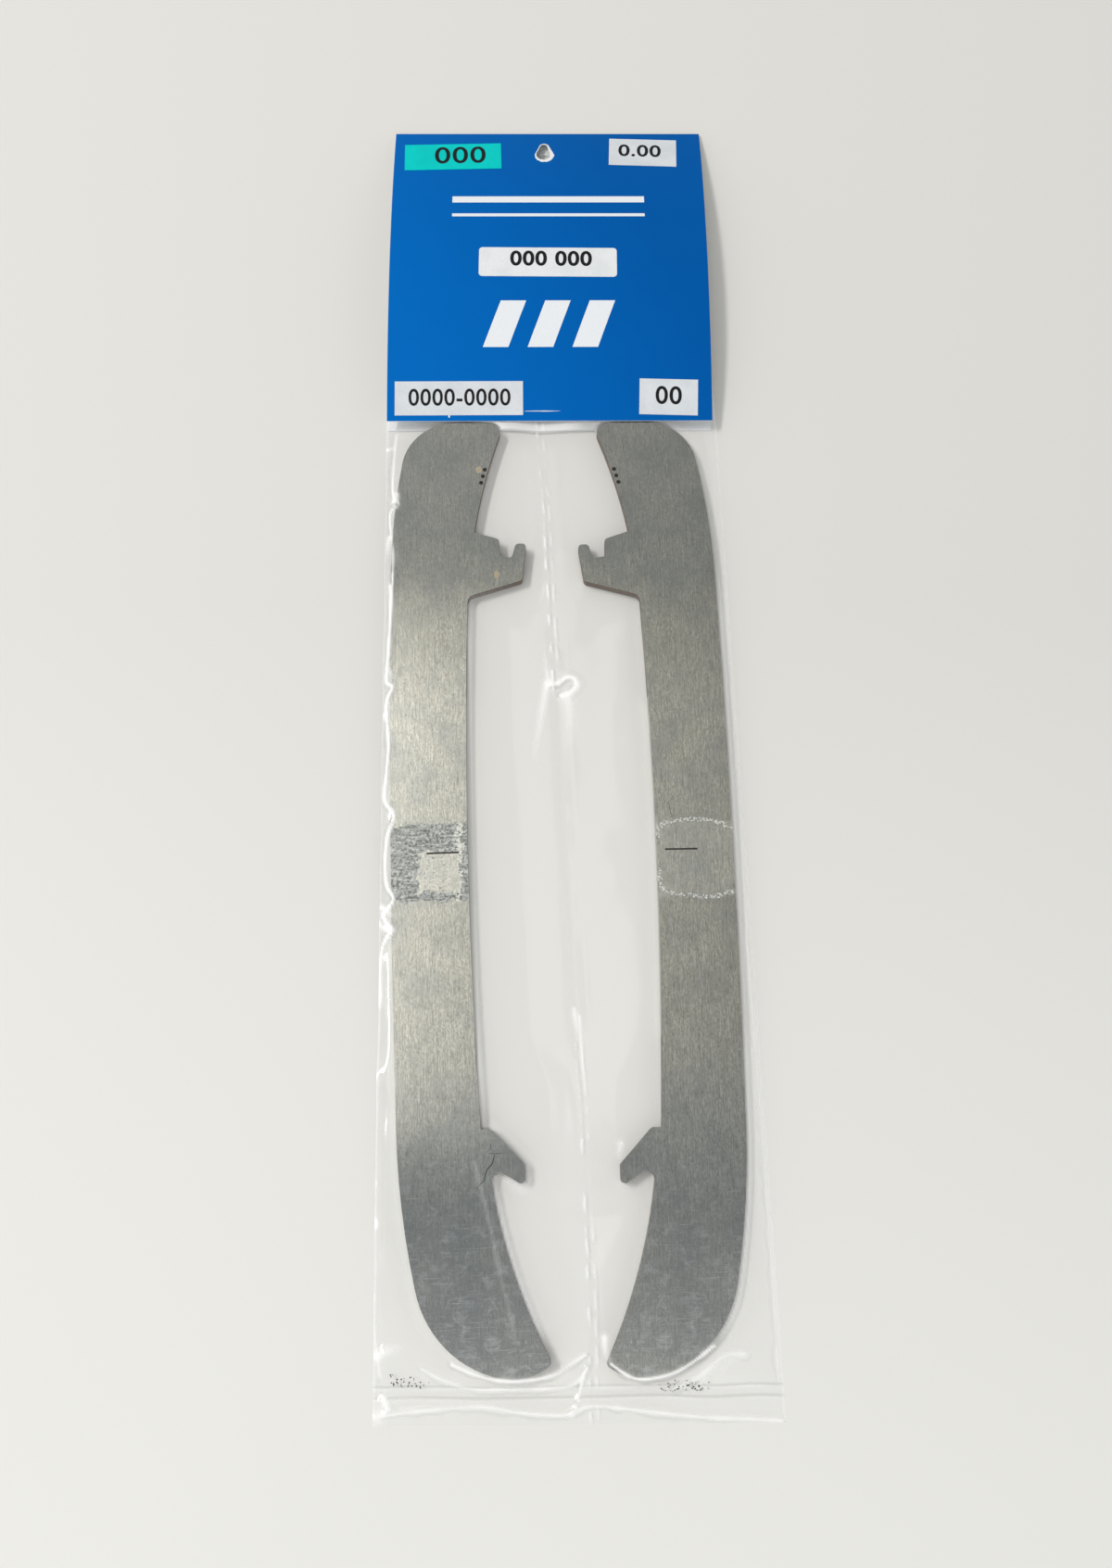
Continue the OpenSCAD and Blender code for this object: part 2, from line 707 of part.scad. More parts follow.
module arch_round(r, length) {
    rotate([0, 90, 0]) cylinder(r = r, h = length, center = true, $fn = facets(r));
}

// Side view of the front panel from the arch's centre: the round fold and the sheet that leaves it
module flap_profile() {
    outer = flap_radius + card_t - joint_lap;
    translate([0, flap_radius - fold_gap / 2]) circle(fold_r, $fn = 48);
    intersection() {
        difference() {
            circle(outer, $fn = facets(outer));
            circle(flap_radius, $fn = facets(flap_radius));
        }
        polygon([[0, 0], for (t = [0, 0.5, 1]) 1.1 * outer * toward(90 + t * flap_arch)]);
    }
}

module header_front_panel() {
    color(card_colour)
        in_pack()
            difference() {
                at_arch_centre() rotate([90, 0, 90]) linear_extrude(card_w, center = true) flap_profile();
                torn_hang_hole();
            }
}

module bag_tape() {
    color(label_colour)
        in_pack()
            translate([-tape_w / 2, -tape_drop - tape_h, card_t])
                cube([tape_w, tape_h, tape_t]);
}

// Label on the arch, by its middle from the card's centre line and along the panel from the fold
module label(middle, drop, turn) {
    inner = flap_radius + card_t;
    in_pack()
        at_arch_centre()
            rotate([drop / flap_length * flap_arch, 0, 0])
                intersection() {
                    difference() {
                        arch_round(inner + label_t, 2 * card_w);
                        arch_round(inner, 2 * card_w + 1);
                    }
                    translate([middle, 0, inner - hole_reach])
                        rotate(turn)
                            linear_extrude(2 * hole_reach)
                                children();
                }
}

module teal_label() {
    left_margin = 3.4;
    top_margin = 5.3;
    turn = 1.6;
    color(teal_colour)
        label(left_margin + (teal_label_w - card_w) / 2, top_margin + teal_label_h / 2, turn)
            square([teal_label_w, teal_label_h], center = true);
}

module height_label() {
    right_margin = 8.1;
    top_margin = 2.9;
    turn = -2.4;
    color(label_colour)
        label((card_w - height_label_w) / 2 - right_margin, top_margin + height_label_h / 2, turn)
            square([height_label_w, height_label_h], center = true);
}

module size_label() {
    offset_x = -0.3;
    turn = -0.5;
    straight = [size_label_w, size_label_h] - 2 * size_label_corner * [1, 1];
    color(label_colour)
        label(offset_x, size_label_drop, turn) {
            square([size_label_w, straight.y], center = true);
            square([straight.x, size_label_h], center = true);
            for (x = [-1, 1], y = [-1, 1])
                translate([x * straight.x, y * straight.y] / 2) circle(size_label_corner, $fn = 48);
        }
}

module stock_label() {
    left_margin = 2.4;
    bottom_margin = 1.8;
    turn = 0.1;
    color(label_colour)
        label(left_margin + (stock_label_w - card_w) / 2,
              flap_length - bottom_margin - stock_label_h / 2, turn)
            square([stock_label_w, stock_label_h], center = true);
}

module price_label() {
    right_margin = 4.4;
    bottom_margin = 1.8;
    turn = -1.5;
    color(label_colour)
        label((card_w - price_label_w) / 2 - right_margin,
              flap_length - bottom_margin - price_label_h / 2, turn)
            square([price_label_w, price_label_h], center = true);
}

left_blade();
right_blade();
bag_front_film();
bag_back_film();
header_back_panel();
header_front_panel();
bag_tape();
teal_label();
height_label();
size_label();
stock_label();
price_label();
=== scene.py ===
import json
import math
from functools import partial

import bpy
import numpy as np
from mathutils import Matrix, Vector, noise
from mathutils.bvhtree import BVHTree


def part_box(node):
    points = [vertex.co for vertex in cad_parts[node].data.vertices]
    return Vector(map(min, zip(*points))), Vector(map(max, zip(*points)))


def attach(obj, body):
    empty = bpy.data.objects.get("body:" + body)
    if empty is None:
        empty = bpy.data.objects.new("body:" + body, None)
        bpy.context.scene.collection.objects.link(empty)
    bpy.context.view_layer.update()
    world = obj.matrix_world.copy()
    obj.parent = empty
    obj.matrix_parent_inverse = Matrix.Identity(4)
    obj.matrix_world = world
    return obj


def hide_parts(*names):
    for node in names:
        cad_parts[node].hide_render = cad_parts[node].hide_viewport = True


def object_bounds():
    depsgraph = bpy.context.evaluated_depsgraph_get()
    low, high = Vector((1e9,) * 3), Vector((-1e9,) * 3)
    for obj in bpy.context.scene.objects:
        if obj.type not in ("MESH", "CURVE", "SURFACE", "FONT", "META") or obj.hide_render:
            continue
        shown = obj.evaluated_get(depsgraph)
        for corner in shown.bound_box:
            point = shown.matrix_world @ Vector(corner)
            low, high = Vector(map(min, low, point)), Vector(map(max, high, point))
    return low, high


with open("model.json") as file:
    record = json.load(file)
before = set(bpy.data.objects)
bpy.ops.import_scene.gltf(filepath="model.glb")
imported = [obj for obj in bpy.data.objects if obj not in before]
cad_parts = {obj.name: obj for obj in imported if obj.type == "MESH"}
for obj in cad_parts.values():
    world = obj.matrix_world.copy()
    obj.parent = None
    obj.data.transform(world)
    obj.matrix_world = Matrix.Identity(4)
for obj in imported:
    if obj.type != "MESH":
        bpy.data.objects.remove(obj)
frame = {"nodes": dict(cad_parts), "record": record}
CAD_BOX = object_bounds()
NODES = frame["nodes"]
CARD_FOLD = next(joint for joint in frame["record"]["behaviour"]["joints"] if joint["name"] == "card_fold")
HANG_HOLE = next(mount for mount in frame["record"]["mounts"] if mount["name"] == "hang_hole")

# Sizes are in millimetres. The pack lies on its back: x across it, y towards the hang hole, z off the table.
MM = 0.001
STEEL_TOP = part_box("left_blade")[1][2] / MM
FILM_TOP = 3.85
MOUTH_Y, BOTTOM_SEAL_Y, BOTTOM_Y = 195.3, -189.6, CAD_BOX[0][1] / MM

# Each steel by its centre mark on the running edge: place, lean and hand. Its x runs to the toe, its y up.
STEELS = {
    "left_blade": ((-50.2764, -48.7608), 1.98, 1),
    "right_blade": ((47.2046, -47.2502), 0.73, -1),
}

# The bag's side edges and its centre seal: place down the pack, then x.
SIDE_Y = (BOTTOM_Y, 87.7, MOUTH_Y)
LEFT_X = (-51.53, -54.87, -53.91)
RIGHT_X = (54.87, 47.93, 43.09)
SEAM_Y = (BOTTOM_Y, -156, -120.1, -89.9, 3.1, 32.8, 57.4, 86, MOUTH_Y)
SEAM_X = (5.5, 5, 3.7, 1.6, -2.9, -4.3, -5.3, -7.2, -12.3)

# The card's front panel: an arch that rises from its fold.
CARD_MIDDLE_X, FOLD_Y, FOLD_Z = (value / MM for value in CARD_FOLD["pos_m"])
FOLD_GAP = 0.4
ARCH_RADIUS, ARCH_RISE = 236.937, math.radians(15.0383)
CARD_T, LABEL_T = 0.4, 0.1

# The hang hole from the panel's centre line, with a smaller round torn upwards out of it.
HOLE_X, HOLE_Y = HANG_HOLE["pos_m"][0] / MM - CARD_MIDDLE_X, HANG_HOLE["pos_m"][1] / MM
HOLE_R = HANG_HOLE["dims"]["r_mm"]
TEAR_R, TEAR_UP = 1.4, 4.0


# Helpers

def paint(code):
    """A colour written in sRGB hex, as the linear colour that the shaders take."""
    parts = [int(code[i:i + 2], 16) / 255 for i in (1, 3, 5)]
    return (*[c / 12.92 if c <= 0.04045 else ((c + 0.055) / 1.055) ** 2.4 for c in parts], 1)


def put(tree, kind, inputs=(), **settings):
    """Adds a node with its settings, values and links. A kind without the word Node is a shader's, and its
    second word is its operation or data type. Inputs come by name or place, or in order as a row. A node
    given as a value links from its first live output."""
    kind, _, mode = kind.partition(" ")
    made = tree.nodes.new(kind if "Node" in kind else "ShaderNode" + kind)
    if mode:
        settings["operation" if hasattr(made, "operation") else "data_type"] = mode
    for name, value in settings.items():
        setattr(made, name, value)
    for key, value in (inputs.items() if isinstance(inputs, dict) else enumerate(inputs)):
        if isinstance(value, bpy.types.Node):
            value = next(o for o in value.outputs if o.enabled)
        if isinstance(value, bpy.types.NodeSocket):
            tree.links.new(value, made.inputs[key])
        else:
            made.inputs[key].default_value = paint(value) if isinstance(value, str) else value
    return made


def new_material(name, build, *given):
    """A material with the surface that a function builds, given what adds nodes to it."""
    material = bpy.data.materials.new(name)
    material.use_nodes = True
    material.node_tree.nodes.clear()
    add = partial(put, material.node_tree)
    add("OutputMaterial", {"Surface": build(add, *given)})
    return material


def add_object(name, data, body=None):
    """An object in the scene, riding on a body if one is given."""
    made = bpy.data.objects.new(name, data)
    bpy.context.scene.collection.objects.link(made)
    if body:
        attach(made, body)
    return made


def turned_to_mesh(holder):
    """The mesh that an object comes out as. The object itself goes."""
    mesh = bpy.data.meshes.new_from_object(holder.evaluated_get(bpy.context.evaluated_depsgraph_get()))
    bpy.data.objects.remove(holder)
    return mesh


def add_piece(name, points, faces, body, material, smooth=True):
    """A mesh piece from points in millimetres."""
    mesh = bpy.data.meshes.new(name)
    mesh.from_pydata([Vector(p) * MM for p in points], [], faces)
    mesh.materials.append(material)
    mesh.polygons.foreach_set("use_smooth", [smooth] * len(mesh.polygons))
    return add_object(name, mesh, body)


def on_card(x, drop, out):
    """World place on the arched panel: from its centre line, down from the fold, and off its inner face."""
    g = drop / ARCH_RADIUS
    u = (ARCH_RADIUS + out) * math.sin(g)
    w = FOLD_GAP / 2 + out - (ARCH_RADIUS + out) * (1 - math.cos(g))
    s, c = math.sin(ARCH_RISE), math.cos(ARCH_RISE)
    return CARD_MIDDLE_X + x, FOLD_Y - u * c + w * s, FOLD_Z + u * s + w * c


# Materials

# The steels' ground finish: noise cells for each millimetre along, across and through the blade, detail,
# roughness. Its long scratches are about 8 by 0.2 mm, its fine ones 2.5 by 0.15 mm. The speckle of 0.7 by
# 0.4 mm is drawn as coarse as it needs to show.
GRAIN_LAYERS = (((0.12, 5, 0.5), 2, 0.6), ((0.4, 6.5, 1), 2, 0.7), ((1.4, 2.6, 1), 4, 0.8))

# Marks across the toe: turn in radians, cells for each millimetre, detail, roughness and distortion.
# The broad strokes are about 3 mm long, the thin scratches 8 by 0.25 mm.
TOE_LAYERS = ((0.2, (2.4, 0.3, 1), 3, 0.65, 0), (-0.12, (3.4, 0.11, 1), 2, 0.55, 0.25))
# Where the scuffs come in along the blade, where they grow to the tip, and how much darker and bluer each
# toe is painted, a painted reflection of a cooler part of the room.
TOE_FROM, TOE_FULL, TIP_FROM, TIP_FULL = 60, 100, 95, 128
TOE_PAINTED_REFLECTION = {"left_blade": 0.3, "right_blade": 0.05}

# Heights up the blade where the ground edge ends and where the burnt walls of the posts start.
GROUND_EDGE, POST_FOOT = 5, 22.6

# The engraved centre mark and the three dots near the heel, by the blade's own x and y.
MARK_MIDDLE, MARK_HALF_LENGTH, MARK_HALF_WIDTH, DOT_R = 14.8, 4.6, 0.26, 0.64
DOTS = {
    "left_blade": ((-115.800, 28.945), (-118.001, 29.531), (-120.201, 30.157)),
    "right_blade": ((-115.799, 28.962), (-117.996, 29.554), (-120.204, 30.176)),
}

# The torn paper band along the blade, its clean square and its pale rim: middle and half width of each.
BAND, CLEAN_ALONG, CLEAN_UP, PALE_RIM = (2.6, 11.2), (5.6, 5.9), (13.6, 5.7), (19.3, 0.8)


def ground_finish(add, own):
    """Grinding scratches along the blade as a value from 0 to 1, and their fine layer by itself."""
    layers = []
    for cells, detail, rough in GRAIN_LAYERS:
        laid = add("Mapping", {"Vector": own, "Scale": cells})
        layers.append(add("TexNoise", {"Vector": laid, "Scale": 1, "Detail": detail, "Roughness": rough}))
    long_grain, fine_grain, speckle = layers
    grain = add("Math MULTIPLY_ADD", (long_grain, 0.7, fine_grain))
    grain = add("Math MULTIPLY_ADD", (speckle, 1.5, grain))
    return add("MapRange", (grain, 1.2, 2)), fine_grain


def toe_scuffs(add, own, along_x):
    """How far into the toe a place lies, and the scuffs: 4 mm smudges, strokes, scratches, 0.6 mm flecks."""
    layers = []
    for turn, cells, detail, rough, bend in TOE_LAYERS:
        laid = add("Mapping", {"Vector": own, "Rotation": (0, 0, turn), "Scale": cells})
        layers.append(add("TexNoise", {
            "Vector": laid, "Scale": 1, "Detail": detail, "Roughness": rough, "Distortion": bend}))
    strokes, scratches = layers
    smudge = add("TexNoise", {
        "Vector": own, "Scale": 0.26, "Detail": 7, "Roughness": 0.72, "Distortion": 0.8})
    scuffs = add("Math MULTIPLY_ADD", (strokes, 0.35, smudge))
    scuffs = add("MapRange", (scuffs, 0.68, 0.96, 0, 0.6))
    scratches = add("MapRange", (scratches, 0.61, 0.76, 0, 0.5))
    flecks = add("TexNoise", {"Vector": own, "Scale": 0.9, "Detail": 3, "Roughness": 0.7})
    flecks = add("MapRange", (flecks, 0.66, 0.76, 0, 0.8))
    for layer in (scratches, flecks):
        scuffs = add("Math MAXIMUM", (scuffs, layer))
    toe = add("MapRange", (along_x, TOE_FROM, TOE_FULL))
    tip = add("MapRange", (along_x, TIP_FROM, TIP_FULL, 1, 1.7))
    scuffs = add("Math MULTIPLY", (scuffs, toe))
    return toe, add("Math MULTIPLY", (scuffs, tip), use_clamp=True)


def cut_walls(add, normal, up, fine_grain):
    """Mask and colour of the laser-cut walls above the ground edge: pale steel, burnt brown on the posts."""
    facing = add("SeparateXYZ", {0: normal})
    upright = add("Math ABSOLUTE", {0: facing.outputs["Z"]})
    side = add("Math LESS_THAN", (upright, 0.6))
    high = add("Math GREATER_THAN", (up, GROUND_EDGE))
    cut = add("Math MULTIPLY", (side, high))
    burnt = add("Mix RGBA", {0: fine_grain, 6: "#4a3d35", 7: "#8a7566"})
    post = add("Math GREATER_THAN", (up, POST_FOOT))
    return cut, add("Mix RGBA", {0: post, 6: "#b9b6ae", 7: burnt})


def engraved_marks(add, blade, own, along):
    """Mask of the centre mark's line and of the three dots by the heel."""
    line_x = add("Math COMPARE", (along.outputs["X"], 0, MARK_HALF_WIDTH))
    line_y = add("Math COMPARE", (along.outputs["Y"], MARK_MIDDLE, MARK_HALF_LENGTH))
    marks = add("Math MULTIPLY", (line_x, line_y))
    flat = add("VectorMath MULTIPLY", (own, (1, 1, 0)))
    for dot in DOTS[blade]:
        far = add("VectorMath DISTANCE", (flat, (*dot, 0)))
        near = add("Math LESS_THAN", (far.outputs["Value"], DOT_R))
        marks = add("Math MAXIMUM", (marks, near))
    return marks


def stuck_band(add, blade, along, cloud, metal):
    """What a paper band left round the steel's centre mark: on the left steel grainy blue-grey glue with a
    clean square and a pale rim, on the right one a faint stain. Gives the glue's mask and the colour."""
    x, y = along.outputs["X"], along.outputs["Y"]
    spot = add("CombineXYZ", {"X": x, "Y": y})
    # Torn edges that wander by about 1.5 mm over 3 mm.
    tear = add("TexNoise", {"Vector": spot, "Scale": 0.33, "Detail": 5, "Roughness": 0.7})
    wobble = add("Math SUBTRACT", (tear, 0.5))
    drift = add("Math SUBTRACT", (cloud, 0.5))
    wander = add("Math MULTIPLY_ADD", (drift, 3, x))
    ragged = add("Math MULTIPLY_ADD", (wobble, 7, wander))
    band = add("Math COMPARE", (ragged, *BAND))
    if blade == "right_blade":
        stain = add("Math MULTIPLY", (band, 0.04))
        return stain, add("Mix RGBA", {0: stain, 6: metal, 7: "#d8dbd8"})
    # Torn paper: flecks about 0.8 mm across, and fibres of 4 by 0.6 mm that lie across the blade.
    worms = add("TexNoise", {
        "Vector": spot, "Scale": 1.25, "Detail": 5, "Roughness": 0.8, "Distortion": 0.6})
    laid = add("Mapping", {"Vector": spot, "Scale": (1.7, 0.25, 1)})
    fibres = add("TexNoise", {"Vector": laid, "Scale": 1, "Detail": 3, "Roughness": 0.7})
    paper = add("Mix FLOAT", {0: 0.35, 2: worms, 3: fibres})
    tall = add("Math MULTIPLY_ADD", (wobble, -8, y))
    clean_x = add("Math COMPARE", (ragged, *CLEAN_ALONG))
    clean_y = add("Math COMPARE", (tall, *CLEAN_UP))
    clean = add("Math MULTIPLY", (clean_x, clean_y))
    bald = add("MapRange", (paper, 0.39, 0.47))
    clean = add("Math MULTIPLY", (clean, bald))
    chalky = add("MapRange", (worms, 0.38, 0.62, 0, 0.45))
    chalky = add("Math MULTIPLY", (clean, chalky))
    metal = add("Mix RGBA", {0: chalky, 6: metal, 7: "#ecebe3"})
    rim = add("Math COMPARE", (tall, *PALE_RIM))
    rim = add("Math MULTIPLY", (rim, band))
    crumbled = add("MapRange", (paper, 0.43, 0.5))
    rim = add("Math MULTIPLY", (rim, crumbled))
    shade = add("MapRange", (paper, 0.43, 0.61))
    glue = add("Mix RGBA", {0: shade, 6: "#262f32", 7: "#cdd1ce"})
    glue = add("Mix RGBA", {0: rim, 6: glue, 7: "#d3d4cd"})
    patch = add("Math SUBTRACT", (band, clean), use_clamp=True)
    patch = add("Math MULTIPLY", (patch, 0.85))
    return patch, add("Mix RGBA", {0: patch, 6: metal, 7: glue})


def brushed_steel(add, blade):
    """Stainless strip, ground lengthwise: dull silver with short bright scratches along the blade that
    spread each reflection across it, laser-cut walls burnt brown, and a bright ground running edge."""
    (ox, oy), lean, hand = STEELS[blade]
    coords = add("TexCoord")
    own = add("Mapping", {
        "Vector": coords.outputs["Object"], "Location": (ox * MM, oy * MM, 0),
        "Rotation": (0, 0, math.radians(lean - 90)), "Scale": (MM, hand * MM, MM)}, vector_type="TEXTURE")
    along = add("SeparateXYZ", {0: own})
    grain, fine_grain = ground_finish(add, own)
    metal = add("Mix RGBA", {0: grain, 6: "#93938e", 7: "#d5d5ce"})
    # Handling marks: soft clouds about 12 mm across.
    cloud = add("TexNoise", {"Vector": own, "Scale": 0.085, "Detail": 4, "Roughness": 0.62})
    dulled = add("MapRange", (cloud, 0.42, 0.66, 0, 0.45))
    toe, scuffs = toe_scuffs(add, own, along.outputs["X"])
    # Painted reflection: each toe tinted darker and bluer for the cooler part of the room that it mirrors.
    painted_reflection = add("Math MULTIPLY", (toe, TOE_PAINTED_REFLECTION[blade]))
    cut, wall = cut_walls(add, coords.outputs["Normal"], along.outputs["Y"], fine_grain)
    for mask, colour in ((dulled, "#959a9d"), (painted_reflection, "#878f92"), (scuffs, "#dfe2e0"), (cut, wall)):
        metal = add("Mix RGBA", {0: mask, 6: metal, 7: colour})
    stuck, metal = stuck_band(add, blade, along, cloud, metal)
    marks = engraved_marks(add, blade, own, along)
    metal = add("Mix RGBA", {0: marks, 6: metal, 7: "#100f0e"})
    soil = add("Math MAXIMUM", (cut, marks))
    soil = add("Math MAXIMUM", (soil, stuck))
    bare = add("Math SUBTRACT", (1, soil))
    shine = add("MapRange", (grain, 0, 1, 0.154, 0.192))
    return add("BsdfPrincipled", {
        "Base Color": metal,
        "Metallic": add("MapRange", (bare, 0, 1, 0.55, 1)),
        "Roughness": add("Mix FLOAT", {0: bare, 2: 0.55, 3: shine}),
        "Anisotropic": 1,
        "Tangent": add("CombineXYZ", {"X": 1}),
        "Normal": add("Bump", {"Height": grain, "Distance": 0.004 * MM})})


def clear_film(add):
    """Clear polyethylene film: invisible where it lies flat, sharp glints on creases, a white line where it
    is welded or folded, partly painted light and painted highlight, and a grey line of painted shade beside
    it where the fold bends the light away."""
    # The milkiness attribute holds real whitening together with painted light and painted highlights.
    milk_and_painted_light = add("Attribute", attribute_name="haze_and_painted_light")
    # Painted shade: the fold attribute greys the film beside welds and creases and below the card's edge.
    bent = add("Attribute", attribute_name="fold")
    gloss = add("BsdfGlossy", {"Color": (1, 1, 1, 1), "Roughness": 0.08})
    tint = add("Mix RGBA", {0: bent.outputs["Fac"], 6: (1, 1, 1, 1), 7: "#a9aba9"})
    through = add("BsdfTransparent", {"Color": tint})
    # A thin film mirrors alike from both sides: 4% straight on, and all of it at grazing angles.
    slant = add("LayerWeight", {"Blend": 0.5}).outputs["Facing"]
    grazing = add("Math POWER", (slant, 5))
    mirror = add("Math MULTIPLY_ADD", (grazing, 0.958, 0.042))
    clear = add("MixShader", (mirror, through, gloss))
    cloudy = add("BsdfPrincipled", {"Base Color": "#fbfbfb", "Roughness": 0.3})
    return add("MixShader", (milk_and_painted_light.outputs["Fac"], clear, cloudy))


def printed_card(add):
    """Coated card printed solid blue on its outside: satin ink with a faint roller mottle, white board on
    the inside, on the cut edges and round the torn hole."""
    coords = add("TexCoord")
    facing = add("SeparateXYZ", {0: coords.outputs["Normal"]})
    outside = add("Math GREATER_THAN", (facing.outputs["Z"], 0.3))
    # Ink mottle about 9 mm across, and paper tooth of 0.25 mm.
    mottle = add("TexNoise", {"Vector": coords.outputs["Object"], "Scale": 110, "Detail": 3})
    tooth = add("TexNoise", {"Vector": coords.outputs["Object"], "Scale": 4000, "Detail": 1})
    # Painted shade: the blue is a little darker towards the upper right, over 80 mm.
    place = add("VectorMath DOT_PRODUCT", (coords.outputs["Object"], (1, 0.4, 0)))
    fraction = add("Math MULTIPLY_ADD", (mottle, -0.016, place.outputs["Value"]))
    fraction = add("MapRange", (fraction, -0.008, 0.082))
    blue = add("Mix RGBA", {0: fraction, 6: "#0066bb", 7: "#0056a4"})
    fibre = add("Mix RGBA", {0: tooth, 6: "#d9dcdf", 7: "#eef0f2"})
    return add("BsdfPrincipled", {
        "Base Color": add("Mix RGBA", {0: outside, 6: fibre, 7: blue}),
        "Roughness": add("MapRange", (outside, 0, 1, 0.75, 0.5)),
        "Specular IOR Level": 0.03,
        "Normal": add("Bump", {"Height": tooth, "Distance": 0.01 * MM})})


def white_board(add):
    """Uncoated board, the plain side of the card: matt white, with a felted tooth, and blue underneath."""
    coords = add("TexCoord")
    facing = add("SeparateXYZ", {0: coords.outputs["Normal"]})
    under = add("Math LESS_THAN", (facing.outputs["Z"], -0.5))
    # Felted tooth of about 0.33 mm.
    tooth = add("TexNoise", {"Vector": coords.outputs["Object"], "Scale": 3000, "Detail": 2})
    fibre = add("Mix RGBA", {0: tooth, 6: "#dcdfe2", 7: "#f0f2f3"})
    blue = add("Mix RGBA", {0: tooth, 6: "#005fae", 7: "#0068b8"})
    return add("BsdfPrincipled", {
        "Base Color": add("Mix RGBA", {0: under, 6: fibre, 7: blue}),
        "Roughness": 0.7,
        "Normal": add("Bump", {"Height": tooth, "Distance": 0.015 * MM})})


def label_paper(add, dark, light):
    """Smooth label paper: nearly matt, evenly coloured, with a fine tooth that only shows close up."""
    spot = add("TexCoord").outputs["Object"]
    # Tooth of 0.4 mm, and a wash of 6 mm.
    tooth = add("TexNoise", {"Vector": spot, "Scale": 2500, "Detail": 2})
    wash = add("TexNoise", {"Vector": spot, "Scale": 160, "Detail": 2})
    blend = add("Math MULTIPLY", (tooth, wash))
    blend = add("MapRange", (blend, 0.15, 0.35))
    return add("BsdfPrincipled", {
        "Base Color": add("Mix RGBA", {0: blend, 6: dark, 7: light}),
        "Roughness": 0.55, "Specular IOR Level": 0.06,
        "Normal": add("Bump", {"Height": tooth, "Distance": 0.008 * MM})})


def thin_layer(add, dark, light, rough):
    """Ink, tape, dried glue or resin: a thin even layer with a slight 0.55 mm grain from what it covers."""
    spot = add("TexCoord").outputs["Object"]
    grain = add("TexNoise", {"Vector": spot, "Scale": 1800, "Detail": 2})
    return add("BsdfPrincipled", {
        "Base Color": add("Mix RGBA", {0: grain, 6: dark, 7: light}),
        "Roughness": rough, "Specular IOR Level": 0.2})


FILM = new_material("clear polyethylene film", clear_film)
BOARD = new_material("white board", white_board)
WHITE_LABEL = new_material("white label paper", label_paper, "#ced3d9", "#d9dde2")
BLACK_INK = new_material("black printing ink", thin_layer, "#0c0d0f", "#141518", 0.6)
WHITE_INK = new_material("white printing ink", thin_layer, "#dfe4ea", "#eceff3", 0.45)
GLUE = new_material("dried glue crumbs", thin_layer, "#b9bdbb", "#e2e4e2", 0.6)
AMBER = new_material("dried amber resin", thin_layer, "#8f8470", "#b5a98f", 0.35)
FINISHES = {
    "left_blade": new_material("brushed stainless steel, left", brushed_steel, "left_blade"),
    "right_blade": new_material("brushed stainless steel, right", brushed_steel, "right_blade"),
    "header_front_panel": new_material("printed coated card", printed_card),
    "header_back_panel": BOARD,
    "bag_tape": new_material("clear adhesive tape", thin_layer, "#d9d6c8", "#e6e4da", 0.3),
    "teal_label": new_material("teal label paper", label_paper, "#00c4bf", "#00cec9"),
    "height_label": WHITE_LABEL,
    "size_label": new_material("coated white label paper", label_paper, "#dcdfe3", "#e6e8eb"),
    "stock_label": WHITE_LABEL,
    "price_label": WHITE_LABEL,
}
for node, material in FINISHES.items():
    NODES[node].data.materials.clear()
    NODES[node].data.materials.append(material)
